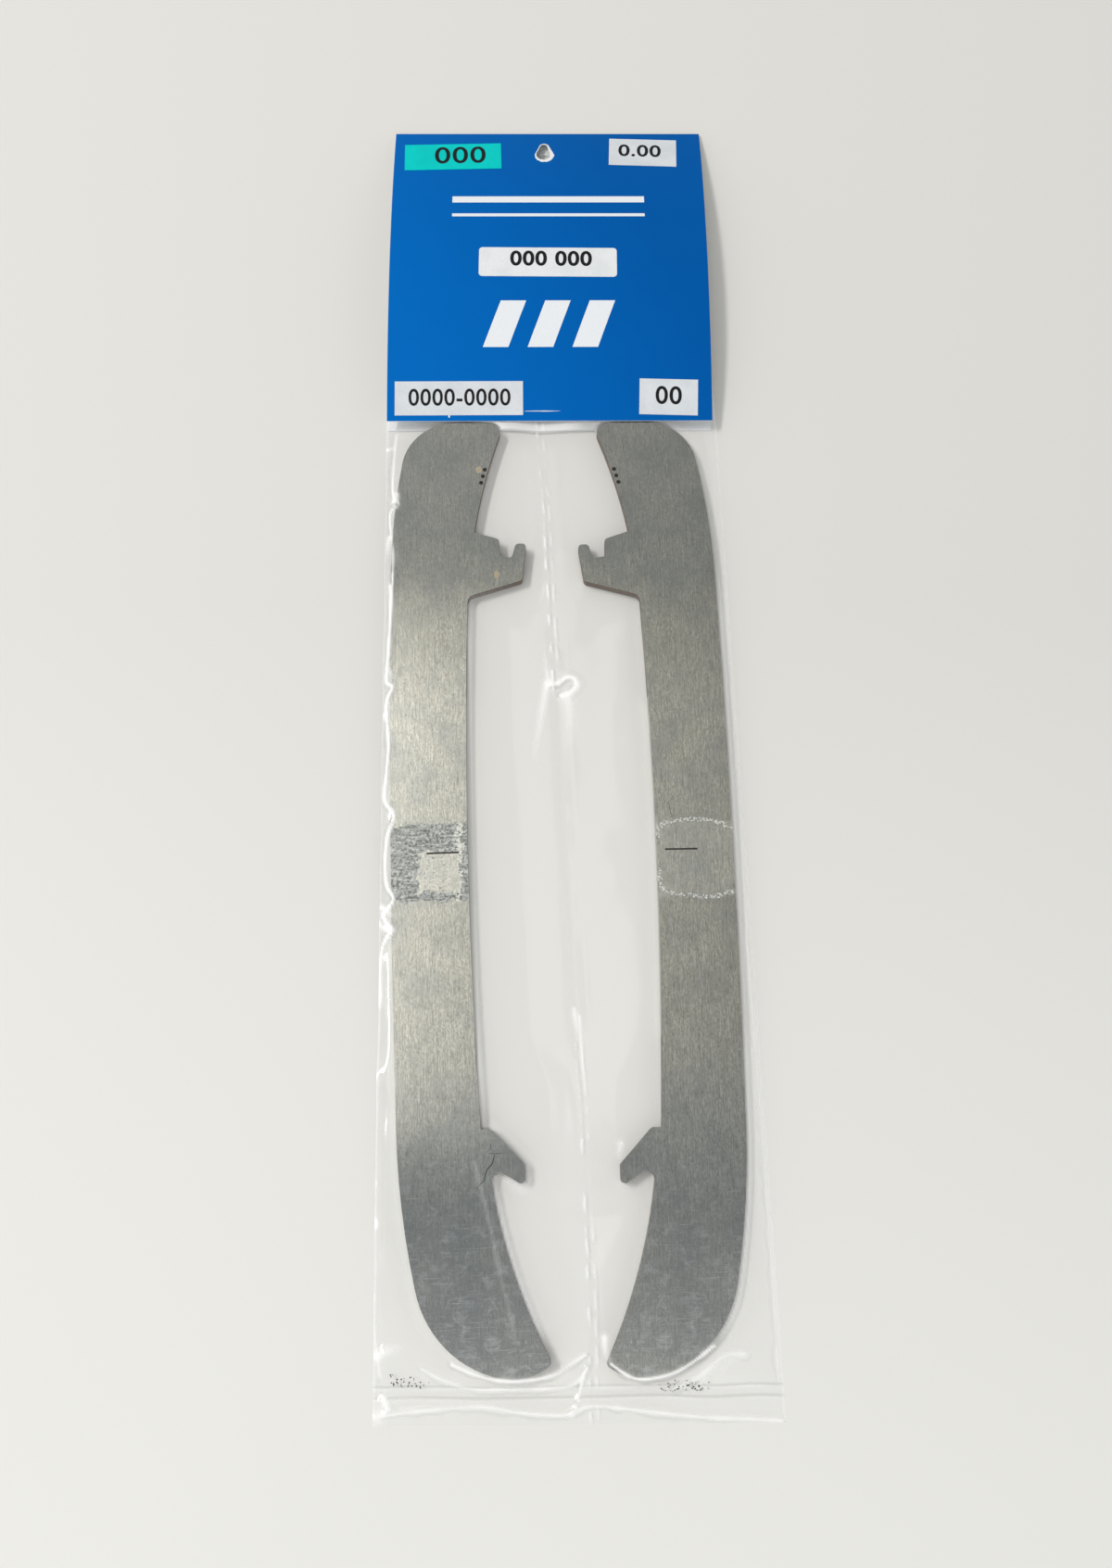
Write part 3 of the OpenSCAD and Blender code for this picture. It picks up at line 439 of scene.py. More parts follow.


# The bag

# Creases of the front film: height, half width, milkiness, partly real whitening and partly painted
# highlight, how far they die out, then points on their way.
CREASES = (
    (0.4, 0.8, 0.7, 0, ((-51.6, 84.2), (-52.3, 65.2), (-50.4, 60.6), (-53, 57.1), (-51.8, 46),
     (-51.6, 37.6))),
    (0.55, 0.75, 1.3, 0, ((-51.6, 37.6), (-52.2, 13.8), (-52.7, 3.6), (-50.8, 1.6), (-52.8, -4.2),
     (-51.5, -15), (-52, -24.8), (-52.4, -33), (-50.2, -35.4), (-49.4, -38.4), (-51.4, -44), (-51.8, -51),
     (-51, -57.6), (-49.2, -60.6), (-49.4, -63), (-52, -65.8), (-50.8, -68.2), (-48.8, -70.4),
     (-51.2, -73.2), (-52.3, -78), (-52.3, -92))),
    (0.2, 0.9, 0.3, 0, ((-52.3, -92), (-52.6, -119.8), (-52.4, -143.7), (-51.9, -171.4), (-49.9, -186))),
    (0.5, 1.3, 1.7, 0.35, ((-4.4, 3.1), (-2.1, 3.4), (0.3, 5.1), (2.4, 4.8), (3, 2.6), (1.4, 0.4),
     (-0.7, -0.4))),
    (0.1, 0.9, 0.45, 0, ((50.3, -24.1), (50.2, -37.7), (50.1, -69.9), (51, -100.7), (52.2, -132.7),
     (53.2, -172.3), (53.4, -188))),
    (0.08, 0.9, 0.25, 0, ((50.3, -14.1), (51.5, -37.7), (51.6, -69.9), (52.5, -90.6))),
    (0.4, 0.8, 1.2, 0, ((-31, -183.4), (-22.5, -186.6), (-14, -187.4), (-5, -186.2), (-0.6, -183.6),
     (3.4, -181.4))),
    (0.5, 0.9, 0.55, 0, ((-38.9, -184.4), (-32.9, -187.4), (-25.8, -189.6), (-17.4, -189.8), (-6.7, -189.6),
     (0.4, -188.6), (3.8, -184.6))),
    (0.4, 0.8, 1.2, 0, ((10, -183.6), (14, -186.2), (18, -187.2), (25.5, -186), (32, -182.6),
     (36.5, -179.4))),
    (0.6, 1.3, 0.6, 0, ((27, -189.6), (31.5, -187.6), (35.5, -184.4), (39.5, -181.6), (44.6, -181.4))),
    (0.5, 0.9, 0.75, 0, ((-51, -196), (-37.5, -194.6), (-23.4, -193.9), (-13.9, -195.3), (-2, -196),
     (5.1, -193.9), (19.3, -195.3), (33.5, -196.8), (42.9, -197.2), (53.8, -197.8))),
    (0.5, 0.7, 0.8, 0, ((3.9, -184.6), (2.4, -188.6), (1.2, -193), (-0.4, -196.6))),
    (0.5, 0.7, 0.7, 0, ((-49.6, -179.2), (-49, -180.4))),
    (0.05, 1.2, 0.17, 0.4, ((-25.7, -133.3), (-22.3, -146), (-18.6, -162), (-14.8, -176.2))),
    (0.6, 1.4, 0.8, 0, ((-48.6, -191.6), (-47.6, -194.2))),
)

# Painted highlights: soft glints of the front film painted as white that dies out: half width, brightness,
# then the points they run through.
PAINTED_SHEENS = (
    (1, 1, ((-5.6, 3.4), (-6.7, -3.2), (-8.1, -11.8), (-9.5, -23))),
    (1.5, 0.55, ((0.2, 0.2), (0.9, -7.4), (0.6, -19))),
    (0.7, 0.9, ((-5, 3.2), (-5.6, 7.6), (-6.6, 15))),
    (1.2, 0.7, ((-51, -181.5), (-47, -179.6), (-43.5, -179.8))),
    (1.6, 0.6, ((-50.4, -196.6), (-49, -192.6), (-45.5, -190.8))),
    (1.5, 0.55, ((33, -188), (38.5, -183.4), (46, -180.6))),
    (0.9, 0.9, ((8.2, -177.2), (8.6, -181), (10.6, -184.2))),
    (0.8, 0.7, ((13.6, -128.4), (13, -130.6), (13.4, -133))),
    (0.5, 0.9, ((-54.4, 79.3), (-53.4, 79.6), (-51.6, 79.4))),
    (0.9, 1, ((-51.3, 63.8), (-51.4, 62), (-53.2, 60.2))),
    (0.7, 0.7, ((-53, 49.5), (-53.4, 46.7), (-53.2, 42.5))),
    (0.5, 0.8, ((-52.4, 34), (-52.2, 30), (-52, 24))),
    (0.6, 0.9, ((-52.4, 7.5), (-51.4, 5.2), (-51.6, 2.6), (-52.6, 0.2))),
    (0.8, 0.9, ((-52.8, -6.6), (-52.6, -9.6))),
    (0.7, 1, ((-52.6, -63.6), (-50.2, -65.4), (-48.2, -67.2))),
    (0.9, 1, ((-51, -69.6), (-49.2, -70.4), (-47.6, -70))),
    (0.6, 0.9, ((-53.4, -67.6), (-52.2, -69.4), (-50.6, -70.6))),
    (0.6, 1, ((1.4, -92.6), (1.7, -95.6), (2.4, -102))),
    (0.5, 0.6, ((2.8, -94), (3.2, -103), (3.7, -113))),
)

# The hollow between each heel and its post, which the film spans without sagging.
HOLLOWS = {
    "left_blade": ((-27.3, 31.1), (-12.5, 35.9), (-11.2, 65), (-13, 76), (-17, 88), (-30, 88)),
    "right_blade": ((21, 31.7), (24, 88), (8, 88), (5, 76), (3.6, 65), (5.3, 36.1)),
}
# Places along its slide at which a steel's plan is taken.
SLIDE_STOPS = (-1, 2, 5, 9, 13, 17, 20)

# Grid lines of the films: start, end and count. The front one is finest under the card's edge, at the fold
# that stands up in the middle and at the bottom seal. Columns run from a side edge, 0, to the centre seal.
FRONT_ROWS = ((MOUTH_Y, 92, 42), (92, 82, 34), (82, 14, 76), (14, -20, 85), (-20, -176, 164),
              (-176, BOTTOM_Y, 75))
FRONT_COLUMNS = ((0, 0.13, 17), (0.13, 0.93, 62), (0.93, 1, 13))
BACK_ROWS = ((MOUTH_Y, BOTTOM_Y, 169),)
BACK_COLUMNS = ((0, 0.12, 8), (0.12, 1, 25))

# Wrinkles of the films: size across the bag, size down it, and the seed of their pattern.
SLACK, BILLOW, CRINKLE, BOTTOM_WAVE = (6, 9, 3.1), (15, 26, 7.7), (5, 8, 1.3), (11, 30, 5.2)
SIDE_CRUMPLE, MOUTH_WAVE, BACK_WAVE = (1, 13, 2.7), (20, 20, 6.1), (12, 18, 8.8)

# Room over a steel, within a reach from it, then heights: top under the card, level at the mouth, lowest.
STEEL_ROOM, NEAR_STEEL, TOP_UNDER_CARD, MOUTH_LEVEL, LOWEST = 0.08, 0.7, 3.9, 0.72, 0.2
# Spans of y over which the front film calms down near the card, keeps under it, and lies down to the mouth.
CALM, UNDER_CARD, TO_MOUTH = (52, 62), (80, 90), (108, 142)
# Spans of y over which the seams come down, and the back film goes level and up over the back panel.
SEAM_DOWN, BACK_LEVEL, OVER_PANEL = (96, 125), (78, 86), (84, 88)
# Milkiness of plain film, and how much more of it the front film's edges have.
PLAIN_HAZE, EDGE_HAZE = 0.01, 0.3


def smooth_run(points):
    """Three more points between each two of a path, so that it bends without corners."""
    ends = [points[0], *points, points[-1]]
    run = []
    for corners in zip(ends, ends[1:], ends[2:], ends[3:]):
        a, b, c, d = map(np.array, corners)
        for t in (0, 0.25, 0.5, 0.75):
            bend = (2 * a - 5 * b + 4 * c - d) * t ** 2 + (3 * b - 3 * c + d - a) * t ** 3
            run.append(0.5 * (2 * b + (c - a) * t + bend))
    return run + [points[-1]]


def from_path(x, y, points):
    """Distance from each grid point to a path, its side, and how far along the path it is, from 0 to 1."""
    best, along, side, run = np.full(x.shape, 1e9), np.zeros(x.shape), np.zeros(x.shape), 0.0
    for (ax, ay), (bx, by) in zip(points[:-1], points[1:]):
        ux, uy = bx - ax, by - ay
        length = math.hypot(ux, uy)
        t = np.clip(((x - ax) * ux + (y - ay) * uy) / length ** 2, 0, 1)
        far = np.hypot(x - ax - t * ux, y - ay - t * uy)
        near = far < best
        along = np.where(near, run + t * length, along)
        side = np.where(near, np.sign(ux * (y - ay) - uy * (x - ax)), side)
        best = np.minimum(best, far)
        run += length
    return best, side, along / run


def ripple(x, y, size_x, size_y, seed):
    """Smooth wrinkles of a given size, from -1 to 1."""
    flat = [noise.noise((a / size_x, b / size_y, seed)) for a, b in zip(x.ravel(), y.ravel())]
    return np.array(flat).reshape(x.shape)


def ease(value, low, high):
    """0 up to low, 1 from high on, and a smooth rise between."""
    t = np.clip((value - low) / (high - low), 0, 1)
    return t * t * (3 - 2 * t)


def bell(off, width):
    """1 in the middle, dying out on both sides over a width."""
    return np.exp(-(off / width) ** 2)


def grid_lines(spans):
    """Lines over spans of start, end and count, with the last end."""
    return np.concatenate([np.linspace(*span, endpoint=False) for span in spans] + [[spans[-1][1]]])


def bag_grid(rows, columns):
    """Plan grid over the bag: rows down it, columns from left edge to centre seal to right edge."""
    y, t = grid_lines(rows), grid_lines(columns)
    left, seam, right = (np.interp(y, *side)[:, None]
                         for side in ((SIDE_Y, LEFT_X), (SEAM_Y, SEAM_X), (SIDE_Y, RIGHT_X)))
    x = np.concatenate([left + t * (seam - left), (right - t * (right - seam))[:, ::-1][:, 1:]], axis=1)
    return x, np.repeat(y[:, None], x.shape[1], axis=1), left, seam, right


def steel_plan(blade, shifts, hollow):
    """Search tree of a steel's plan at some places along its slide, with a hollow that counts as steel."""
    mesh = NODES[blade].data
    points, faces = [(x, y, 0) for x, y in hollow], [range(len(hollow))] if hollow else []
    for shift in shifts:
        for face in mesh.polygons:
            if face.normal.z > 0.9:
                faces.append(range(len(points), len(points) + len(face.vertices)))
                corners = [mesh.vertices[v].co / MM for v in face.vertices]
                points += [(corner.x, corner.y + shift, 0) for corner in corners]
    return BVHTree.FromPolygons(points, [list(f) for f in faces])


STEEL_REACH = [steel_plan(blade, SLIDE_STOPS, HOLLOWS[blade]) for blade in STEELS]
STEELS_AT_REST = [steel_plan(blade, (0,), ()) for blade in STEELS]


def steel_gap(x, y, plans):
    """Distance in plan from each place to the nearest steel."""
    flat = [min(tree.find_nearest((a, b, 0))[3] for tree in plans) for a, b in zip(x.ravel(), y.ravel())]
    return np.array(flat).reshape(x.shape)


def seal_lift(y):
    """How far a seam can float off the table: half the steels' height beside them, 0 at the bag's ends."""
    return 1.5 * ease(y, BOTTOM_SEAL_Y, BOTTOM_SEAL_Y + 30) * (1 - ease(y, *SEAM_DOWN))


def side_lift(y, on_left):
    """How far each side seam floats: the left one crumples up and down, the right one lies low."""
    crumpled = seal_lift(y) * np.clip(1.4 + 1.6 * ripple(0 * y, y, *SIDE_CRUMPLE), 0.7, 2)
    return np.where(on_left, crumpled, 0.4 * seal_lift(y))


def seam_lift(y, room):
    """How far the centre seam floats: higher where a steel comes close to it."""
    inside = ease(y, BOTTOM_SEAL_Y, BOTTOM_SEAL_Y + 14) * (1 - ease(y, *SEAM_DOWN))
    return np.maximum(0.8 * seal_lift(y), np.maximum(FILM_TOP - 0.3 - 0.15 * room, 0) * inside)


def settle(z):
    """Evens a film out over its nearest rows and columns, apart from its edges."""
    for _ in range(6):
        z[:, 1:-1] = (z[:, :-2] + 2 * z[:, 1:-1] + z[:, 2:]) / 4
        z[1:-1] = (z[:-2] + 2 * z[1:-1] + z[2:]) / 4
    return z


def drape(x, y, left, seam, right):
    """Height of the front film: level over the steels' reach, then down to its seals, with wrinkles."""
    to_side, to_seam, on_left = np.minimum(x - left, right - x), np.abs(x - seam), x < seam
    outer = to_side < to_seam
    to_seal = np.minimum(np.minimum(to_side, to_seam), np.maximum(y - BOTTOM_SEAL_Y, 0))
    gap = np.maximum(steel_gap(x, y, STEEL_REACH) - 0.3 - 0.5 * ripple(x, y, *SLACK), 0)
    fall = gap / (gap + np.maximum(to_seal, 0) + 1e-6)
    seam_room = steel_gap(seam, y[:, :1], STEEL_REACH)
    seal_z = 0.3 + np.where(outer, side_lift(y, on_left), seam_lift(y, seam_room))
    steepness = np.where(outer, np.where(on_left, 2.2, 1.5), 1.1)
    z = FILM_TOP - (FILM_TOP - seal_z) * fall ** steepness
    loose = ease(gap, 0, 5) * ease(to_seal, 0, 4) * (1 - 0.85 * ease(y, *CALM))
    z += loose * (0.22 * ripple(x, y, *BILLOW) + 0.07 * ripple(x, y, *CRINKLE))
    z += 0.12 * ease(-y, -BOTTOM_SEAL_Y, -BOTTOM_SEAL_Y + 2) * (1 + ripple(x, y, *BOTTOM_WAVE))
    return settle(z)


def painted_light_by_steels(x, y, left, seam, right):
    """Painted light: whiter film beside the steels at rest that lifts their cast shadows, most on their
    right, less at posts and heels, and a painted white strip with a painted grey shadow line below the
    card's edge.
    Gives the painted light and the painted shade."""
    off_steel = steel_gap(x, y, STEELS_AT_REST)
    outer = np.minimum(x - left, right - x) < np.abs(x - seam)
    # Painted light: whiter film on each steel's shadow side lifts its cast shadow.
    milk_and_painted_light = np.where(outer == (x < seam), 0.16, 0.45 + 0.15 * (1 - ease(y, -110, -92))) * ease(y, -182, -172)
    by_posts = (1 - bell(y - 38, 11)) * (1 - 0.7 * bell(y + 130, 12))
    milk_and_painted_light *= (1 - 0.65 * ease(y, 20, 45)) * np.where(outer, 1, by_posts)
    milk_and_painted_light *= ease(off_steel, 0, 0.9) * bell(off_steel, 2.4)
    between = ease(off_steel, 0.1, 0.8) * ease(x, -28, -24) * (1 - ease(x, 20, 24))
    # Painted light: a white strip below the card's edge, where the back panel lies in the panel's shadow;
    # painted shadow: a grey line just below the strip.
    strip = ease(y, 85.9, 86.6) * (1 - ease(y, 88.6, 89.4)) * between * (0.62 - 0.35 * ease(x, 0, 8))
    return milk_and_painted_light + strip, 0.6 * bell(y - 85.3, 0.4) * between


def centre_weld(x, y, seam):
    """The centre seal, welded in two broken lines 1.8 mm apart, has come open over the middle third. Gives
    its milkiness, its grey lines of painted shade beside each weld line, and its height."""
    milk_and_painted_highlight, grey, lift = np.zeros((3, *x.shape))
    shut = 0.06 + 0.94 * ease(y, -2, 5) * (1 - 0.5 * ease(y, 50, 66)) + 0.9 * (1 - ease(y, -108, -96))
    for offset, full in ((-0.9, 1), (0.9, 0.45)):
        off = x - seam - offset - 0.25 * ripple(x, y, 60, 5, 3.3 + offset)
        dash = np.clip(0.4 + 2.2 * ripple(x, y, 40, 3.4, 9.4 + offset), 0.06, 1) * full * shut
        milk_and_painted_highlight += 0.9 * dash * bell(off, 0.4)
        # Painted shade: a grey line beside each weld line.
        grey += 0.3 * dash * bell(off - 0.55, 0.3)
        lift += 0.2 * dash * bell(off, 0.4)
    return milk_and_painted_highlight, grey, lift


def bottom_weld(x, y):
    """The bottom seal's two lines, 2.7 mm apart: their milkiness, their grey lines of painted shade beside
    each, and their height.
    """
    milk_and_painted_highlight, grey, lift = np.zeros((3, *x.shape))
    for place in (BOTTOM_SEAL_Y, BOTTOM_SEAL_Y - 2.7):
        off = y - place - 0.5 * ripple(x, y, 16, 900, 4.4)
        broken = np.clip(0.55 + 0.9 * ripple(x, y, 9, 900, 8.1 + place), 0.15, 1)
        milk_and_painted_highlight += 0.4 * broken * bell(off, 0.28)
        # Painted shade: a grey line beside each seal line.
        grey += 0.3 * bell(off - 0.55, 0.3)
        lift += 0.2 * bell(off, 0.45)
    return milk_and_painted_highlight, grey, lift


def creases(x, y):
    """Creases and painted soft glints: their milkiness, partly painted highlight, the grey line of painted
    shade beside each crease, and their height.
    """
    milk_and_painted_highlight, grey, lift = np.zeros((3, *x.shape))
    for height, width, white, taper, points in CREASES:
        far, side, along = from_path(x, y, smooth_run(points))
        wide = width * (1 + 0.7 * ripple(x, y, 4, 5, height + width))
        strength = (0.85 + 0.5 * ripple(x, y, 6, 6, 2 * height + width)) * (1 - taper * along)
        lift += height * strength * bell(far, width)
        # Milkiness along each crease: partly real whitening of the film, partly painted highlight.
        milk_and_painted_highlight += white * strength * (bell(far, 0.4 * wide) + 0.2 * bell(far, 1.3 * wide))
        # Painted shade: a grey line along one side of each crease.
        grey += 0.3 * white * strength * bell(far * side + 1.1 * wide, 0.4 * wide)
    for width, bright, points in PAINTED_SHEENS:
        far, _, along = from_path(x, y, smooth_run(points))
        # Painted highlights: soft glints painted as white.
        milk_and_painted_highlight += bright * (1 - along) * bell(far, width)
    return milk_and_painted_highlight, grey, lift


def film_piece(name, x, y, z, haze_and_painted_light, fold, node):
    """A film over a plan grid, with its milkiness, partly painted light, and its grey lines of painted shade
    kept as attributes.
    """
    rows, columns = x.shape
    points = np.stack([x, y, z], -1).reshape(-1, 3).tolist()
    faces = [(i * columns + j, (i + 1) * columns + j, (i + 1) * columns + j + 1, i * columns + j + 1)
             for i in range(rows - 1) for j in range(columns - 1)]
    piece = add_piece(name, points, faces, "bag", FILM)
    for label, values in (("haze_and_painted_light", haze_and_painted_light), ("fold", fold)):
        attribute = piece.data.attributes.new(label, "FLOAT", "POINT")
        attribute.data.foreach_set("value", np.clip(values, 0, 0.95).ravel())
    piece.visible_shadow = piece.visible_diffuse = False
    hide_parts(node)
    return piece


def front_film():
    """The front film drapes over the steels and falls to its seals, with welds, creases, glints and painted
    glints, and painted light and shade beside the steels.
    """
    x, y, left, seam, right = bag_grid(FRONT_ROWS, FRONT_COLUMNS)
    z = drape(x, y, left, seam, right)
    # Painted light beside the steels and below the card's edge, with a painted shadow line.
    haze_and_painted_light, fold = painted_light_by_steels(x, y, left, seam, right)
    haze_and_painted_light += PLAIN_HAZE + EDGE_HAZE * (bell(x - left, 0.4) + bell(right - x, 0.4))
    # Welds and creases add milkiness with painted highlights, grey lines of painted shade, and height.
    for milk_and_painted_highlight, grey, lift in (centre_weld(x, y, seam), bottom_weld(x, y), creases(x, y)):
        haze_and_painted_light, fold, z = haze_and_painted_light + milk_and_painted_highlight, fold + grey, z + lift
    near_steel = steel_gap(x, y, STEEL_REACH) < NEAR_STEEL
    z = np.where(near_steel, np.maximum(z, STEEL_TOP + STEEL_ROOM), z)
    # Under the card it keeps below the panel, and beyond the steels it lies down to the mouth.
    z += ease(y, *UNDER_CARD) * (np.minimum(z, TOP_UNDER_CARD) - z)
    flat = MOUTH_LEVEL + 0.1 * ripple(x, y, *MOUTH_WAVE)
    z = flat + (1 - ease(y, *TO_MOUTH)) * (z - flat)
    return film_piece("front_film", x, y, np.maximum(z, LOWEST), haze_and_painted_light, fold, "bag_front_film")


def back_film():
    """The back film: on the table under the steels, over the card's back panel, and up to the seams."""
    x, y, left, seam, right = bag_grid(BACK_ROWS, BACK_COLUMNS)
    to_side, on_left = np.minimum(x - left, right - x), x < seam
    rooms = [steel_gap(edge, y[:, :1], STEEL_REACH) for edge in (left, seam, right)]
    left_room, seam_room, right_room = rooms
    side_run = np.clip(0.85 * np.where(on_left, left_room, right_room), 0.8, 3.2)
    z = 0.14 + 0.06 * ripple(x, y, *BACK_WAVE) + CARD_T * ease(y, *OVER_PANEL)
    at_side = side_lift(y, on_left) * (1 - ease(to_side / side_run, 0, 1))
    at_seam = seam_lift(y, seam_room) * (1 - ease(np.abs(x - seam) / np.clip(0.9 * seam_room, 3, 15), 0, 1))
    z += np.maximum(at_side, at_seam) * (1 - ease(y, *BACK_LEVEL))
    haze_and_painted_light = PLAIN_HAZE + 0.2 * bell(to_side, 0.5)
    return film_piece("back_film", x, y, z, haze_and_painted_light, 0 * haze_and_painted_light, "bag_back_film")


FRONT = front_film()
back_film()


# Print on the card and its labels

# Height of the print off what carries it.
NUMBER_LIFT, BAR_LIFT = 0.03, 0.02
# Plain numbers: name, digits, size, middle and drop on the panel, degrees of turn, shift, stretch, boldness.
NUMBERS = (
    ("teal_label_number", "000", 11.2, -31.25, 11.45, 1.6, (2.4, 0.2), 0.98, 0.01),
    ("height_label_number", "0.00", 8, 31.3, 9.4, -2.4, (-1, 0.4), 0.98, 0.018),
    ("size_label_number", "000 000", 7.6, -0.3, 56, -0.5, (1, 1), 0.99, 0.026),
    ("stock_label_number", "0000-0000", 7.6, -28.2, 102.75, 0.1, (0.2, 0), 0.92, 0.012),
    ("price_label_number", "00", 8, 37, 102.45, -1.5, (0, 0.2), 1.02, 0.015),
)
# Plain white bars: name, middle and drop on the panel, width, height and slant.
BARS = (
    ("upper_rule", 0, 31, 62, 2.6, 0), ("lower_rule", 0, 37.5, 62, 1.2, 0),
    ("slanted_bar_1", -14, 78, 8, 16, 0.35), ("slanted_bar_2", 0, 78, 8, 16, 0.35),
    ("slanted_bar_3", 14, 78, 8, 16, 0.35),
)


def wrap_flat(name, points, faces, middle, drop, turn, out, material):
    """A flat print in millimetres about its own middle, laid on the arched panel."""
    s, c = math.sin(math.radians(turn)), math.cos(math.radians(turn))
    placed = [on_card(middle + p[0] * c - p[1] * s, drop - p[0] * s - p[1] * c, out) for p in points]
    return add_piece(name, placed, faces, "card_flap", material, smooth=False)


def numerals(name, words, size, middle, drop, turn, shift, wide, bold):
    """Plain numbers printed on a label, bent with the arch."""
    curve = bpy.data.curves.new(name, "FONT")
    curve.body, curve.size, curve.align_x, curve.align_y = words, size, "CENTER", "CENTER"
    curve.space_character = 1.06
    curve.offset = bold * size
    curve.resolution_u = 6
    mesh = turned_to_mesh(add_object(name + "_text", curve))
    points = [(v.co.x * wide + shift[0], v.co.y + shift[1]) for v in mesh.vertices]
    faces = [list(p.vertices) for p in mesh.polygons]
    bpy.data.meshes.remove(mesh)
    out = CARD_T + LABEL_T + NUMBER_LIFT
    return wrap_flat(name, points, faces, middle, drop, turn, out, BLACK_INK)


def strip_faces(count):
    """Faces of a strip whose points come in pairs."""
    return [(2 * i - 2, 2 * i, 2 * i + 1, 2 * i - 1) for i in range(1, count)]


def white_bar(name, middle, drop, width, height, slant):
    """A plain white printed bar, sliced every 0.8 mm so that it follows the arch."""
    cuts = max(2, int(height / 0.8))
    points = []
    for v in (height * (0.5 - i / cuts) for i in range(cuts + 1)):
        points += [(-width / 2 + v * slant, v), (width / 2 + v * slant, v)]
    faces = strip_faces(cuts + 1)
    return wrap_flat(name, points, faces, middle, drop, 0, CARD_T + BAR_LIFT, WHITE_INK)


for number in NUMBERS:
    numerals(*number)
for bar in BARS:
    white_bar(*bar)


# Torn paper, resin, glue crumbs, specks and scratches

# Points round a small ragged patch, and the heights of its rim and its middle.
BLOT_POINTS, BLOT_RIM, BLOT_MIDDLE = 22, 0.02, 0.12
# Patches of bare paper on the panel: name, middle, drop, width, height and seed.
PAPER_BLOTS = (("paper_lift_1", -41.9, 107.2, 0.7, 1.2, 1), ("paper_lift_2", -31.2, 108.2, 0.6, 1.6, 2),
               ("paper_scratch", -2.6, 106.9, 11, 0.28, 3))
# Resin on the left steel: name, place in the pack, width, height and seed.
RESIN_BLOTS = (("amber_spot", -26.1, 72.4, 2, 2.2, 4), ("amber_smear", -20.5, 37.4, 1.5, 2.8, 5))
# Rims of the glue that a paper band left on the right steel.
GLUE_RIMS = (
    ((25.9, -44.4), (26.3, -41.2), (28.6, -39.5), (35.3, -38.7), (42.4, -39.3), (46.8, -41.3)),
    ((25.9, -53.3), (26.2, -57.1), (28, -60), (34.5, -60.9), (40.5, -61.4), (46.9, -59.5)),
)
# What the grains are strewn by, and the kind of each. Lengths are in metres.
GRAIN_SETTINGS = dict.fromkeys(("Spacing", "Spread", "Size", "Stretch", "Flatness"), "Float")
GRAIN_SETTINGS.update(Seed="Int", Finish="Material")
GLUE_GRAINS = (0.00017, 0.0006, 0.00021, 1.9, 0.22, 4)
# Specks of ink on the front film: name, path and settings.
INK_SPECKS = (
    ("ink_specks_left", ((-47.2, -187.1), (-43.6, -187.8), (-40.8, -187.4), (-38.4, -188.6)),
     (0.00026, 0.0014, 0.00024, 1.3, 0.15, 11)),
    ("ink_specks_right", ((23.5, -189.9), (27.8, -189), (30.2, -189.2), (34.6, -189.6)),
     (0.00016, 0.0012, 0.0002, 1.6, 0.15, 23)),
)
# Dark scratches on the steels: name, steel, path and width. They lie just off the steel.
SCRATCHES = (
    ("toe_scratch_1", "left_blade",
     ((-20.3, -131.2), (-20.7, -132.2), (-20.9, -133.4), (-22.4, -135), (-22.8, -136.3), (-23.1, -137.8),
      (-24.1, -138.7), (-25.2, -140)), 0.24),
    ("toe_scratch_2", "left_blade", ((-21.3, -128.1), (-21.5, -129), (-21.6, -130)), 0.2),
    ("toe_scratch_3", "left_blade", ((-22.1, -130.7), (-20.3, -130.9), (-17.8, -130.8)), 0.14),
    ("middle_scratch", "right_blade", ((28, -35.4), (29.2, -34), (29.6, -36.6), (30.4, -38.4)), 0.16),
)
SCRATCH_LIFT = 0.012


def drop_at(y, out):
    """How far down the panel, from its fold, a place of this y lies."""
    drop = FOLD_Y - y
    for _ in range(6):
        drop += on_card(0, drop, out)[1] - y
    return drop


def torn_rim():
    """White torn fibre round the hang hole, widest low on the right."""
    lean = math.acos((HOLE_R - TEAR_R) / TEAR_UP)
    turns = np.linspace(lean, 2 * math.pi - lean, 56)
    outline = [(HOLE_R * math.sin(a), HOLE_R * math.cos(a)) for a in turns]
    outline += [(TEAR_R * math.sin(a), TEAR_UP + TEAR_R * math.cos(a)) for a in np.linspace(-lean, lean, 24)]
    middle_up = 0.8
    points, faces = [], []
    for i, (px, py) in enumerate(outline):
        far = math.hypot(px, py - middle_up)
        ux, uy = px / far, (py - middle_up) / far
        ragged = noise.noise((px * 1.9, py * 1.9, 0.3)) + 0.5 * noise.noise((px * 5, py * 5, 2.3))
        toward_lower_right = 0.5 + 0.5 * (0.8 * ux - 0.6 * uy)
        wide = max(0.08, 0.1 + 0.4 * toward_lower_right + 0.25 * ragged)
        for step, lift in ((-0.1 - 0.8 * toward_lower_right - 0.25 * ragged, 0.04), (0.1, 0.05), (wide, 0.015)):
            x, y = HOLE_X + px + step * ux, HOLE_Y + py + step * uy
            points.append(on_card(x, drop_at(y, CARD_T), CARD_T + lift))
        a, b = 3 * i, 3 * ((i + 1) % len(outline))
        faces += [(b, b + 1, a + 1, a), (b + 1, b + 2, a + 2, a + 1)]
    return add_piece("torn_hole_rim", points, faces, "card_flap", BOARD)


def blot(name, lay, width, height, seed, body, material):
    """A small ragged patch with a raised middle, laid by a function of its own x, y and height."""
    points = []
    for a in np.linspace(0, 2 * math.pi, BLOT_POINTS, endpoint=False):
        s, c = math.sin(a), math.cos(a)
        points.append(lay(0.5 * width * c * (1 + 0.5 * noise.noise((c * 2, s * 2, seed))),
                          0.5 * height * s * (1 + 0.5 * noise.noise((s * 2, c * 2, seed + 3))), BLOT_RIM))
    points.append(lay(0, 0, BLOT_MIDDLE))
    faces = [(BLOT_POINTS, i, (i + 1) % BLOT_POINTS) for i in range(BLOT_POINTS)]
    return add_piece(name, points, faces, body, material)


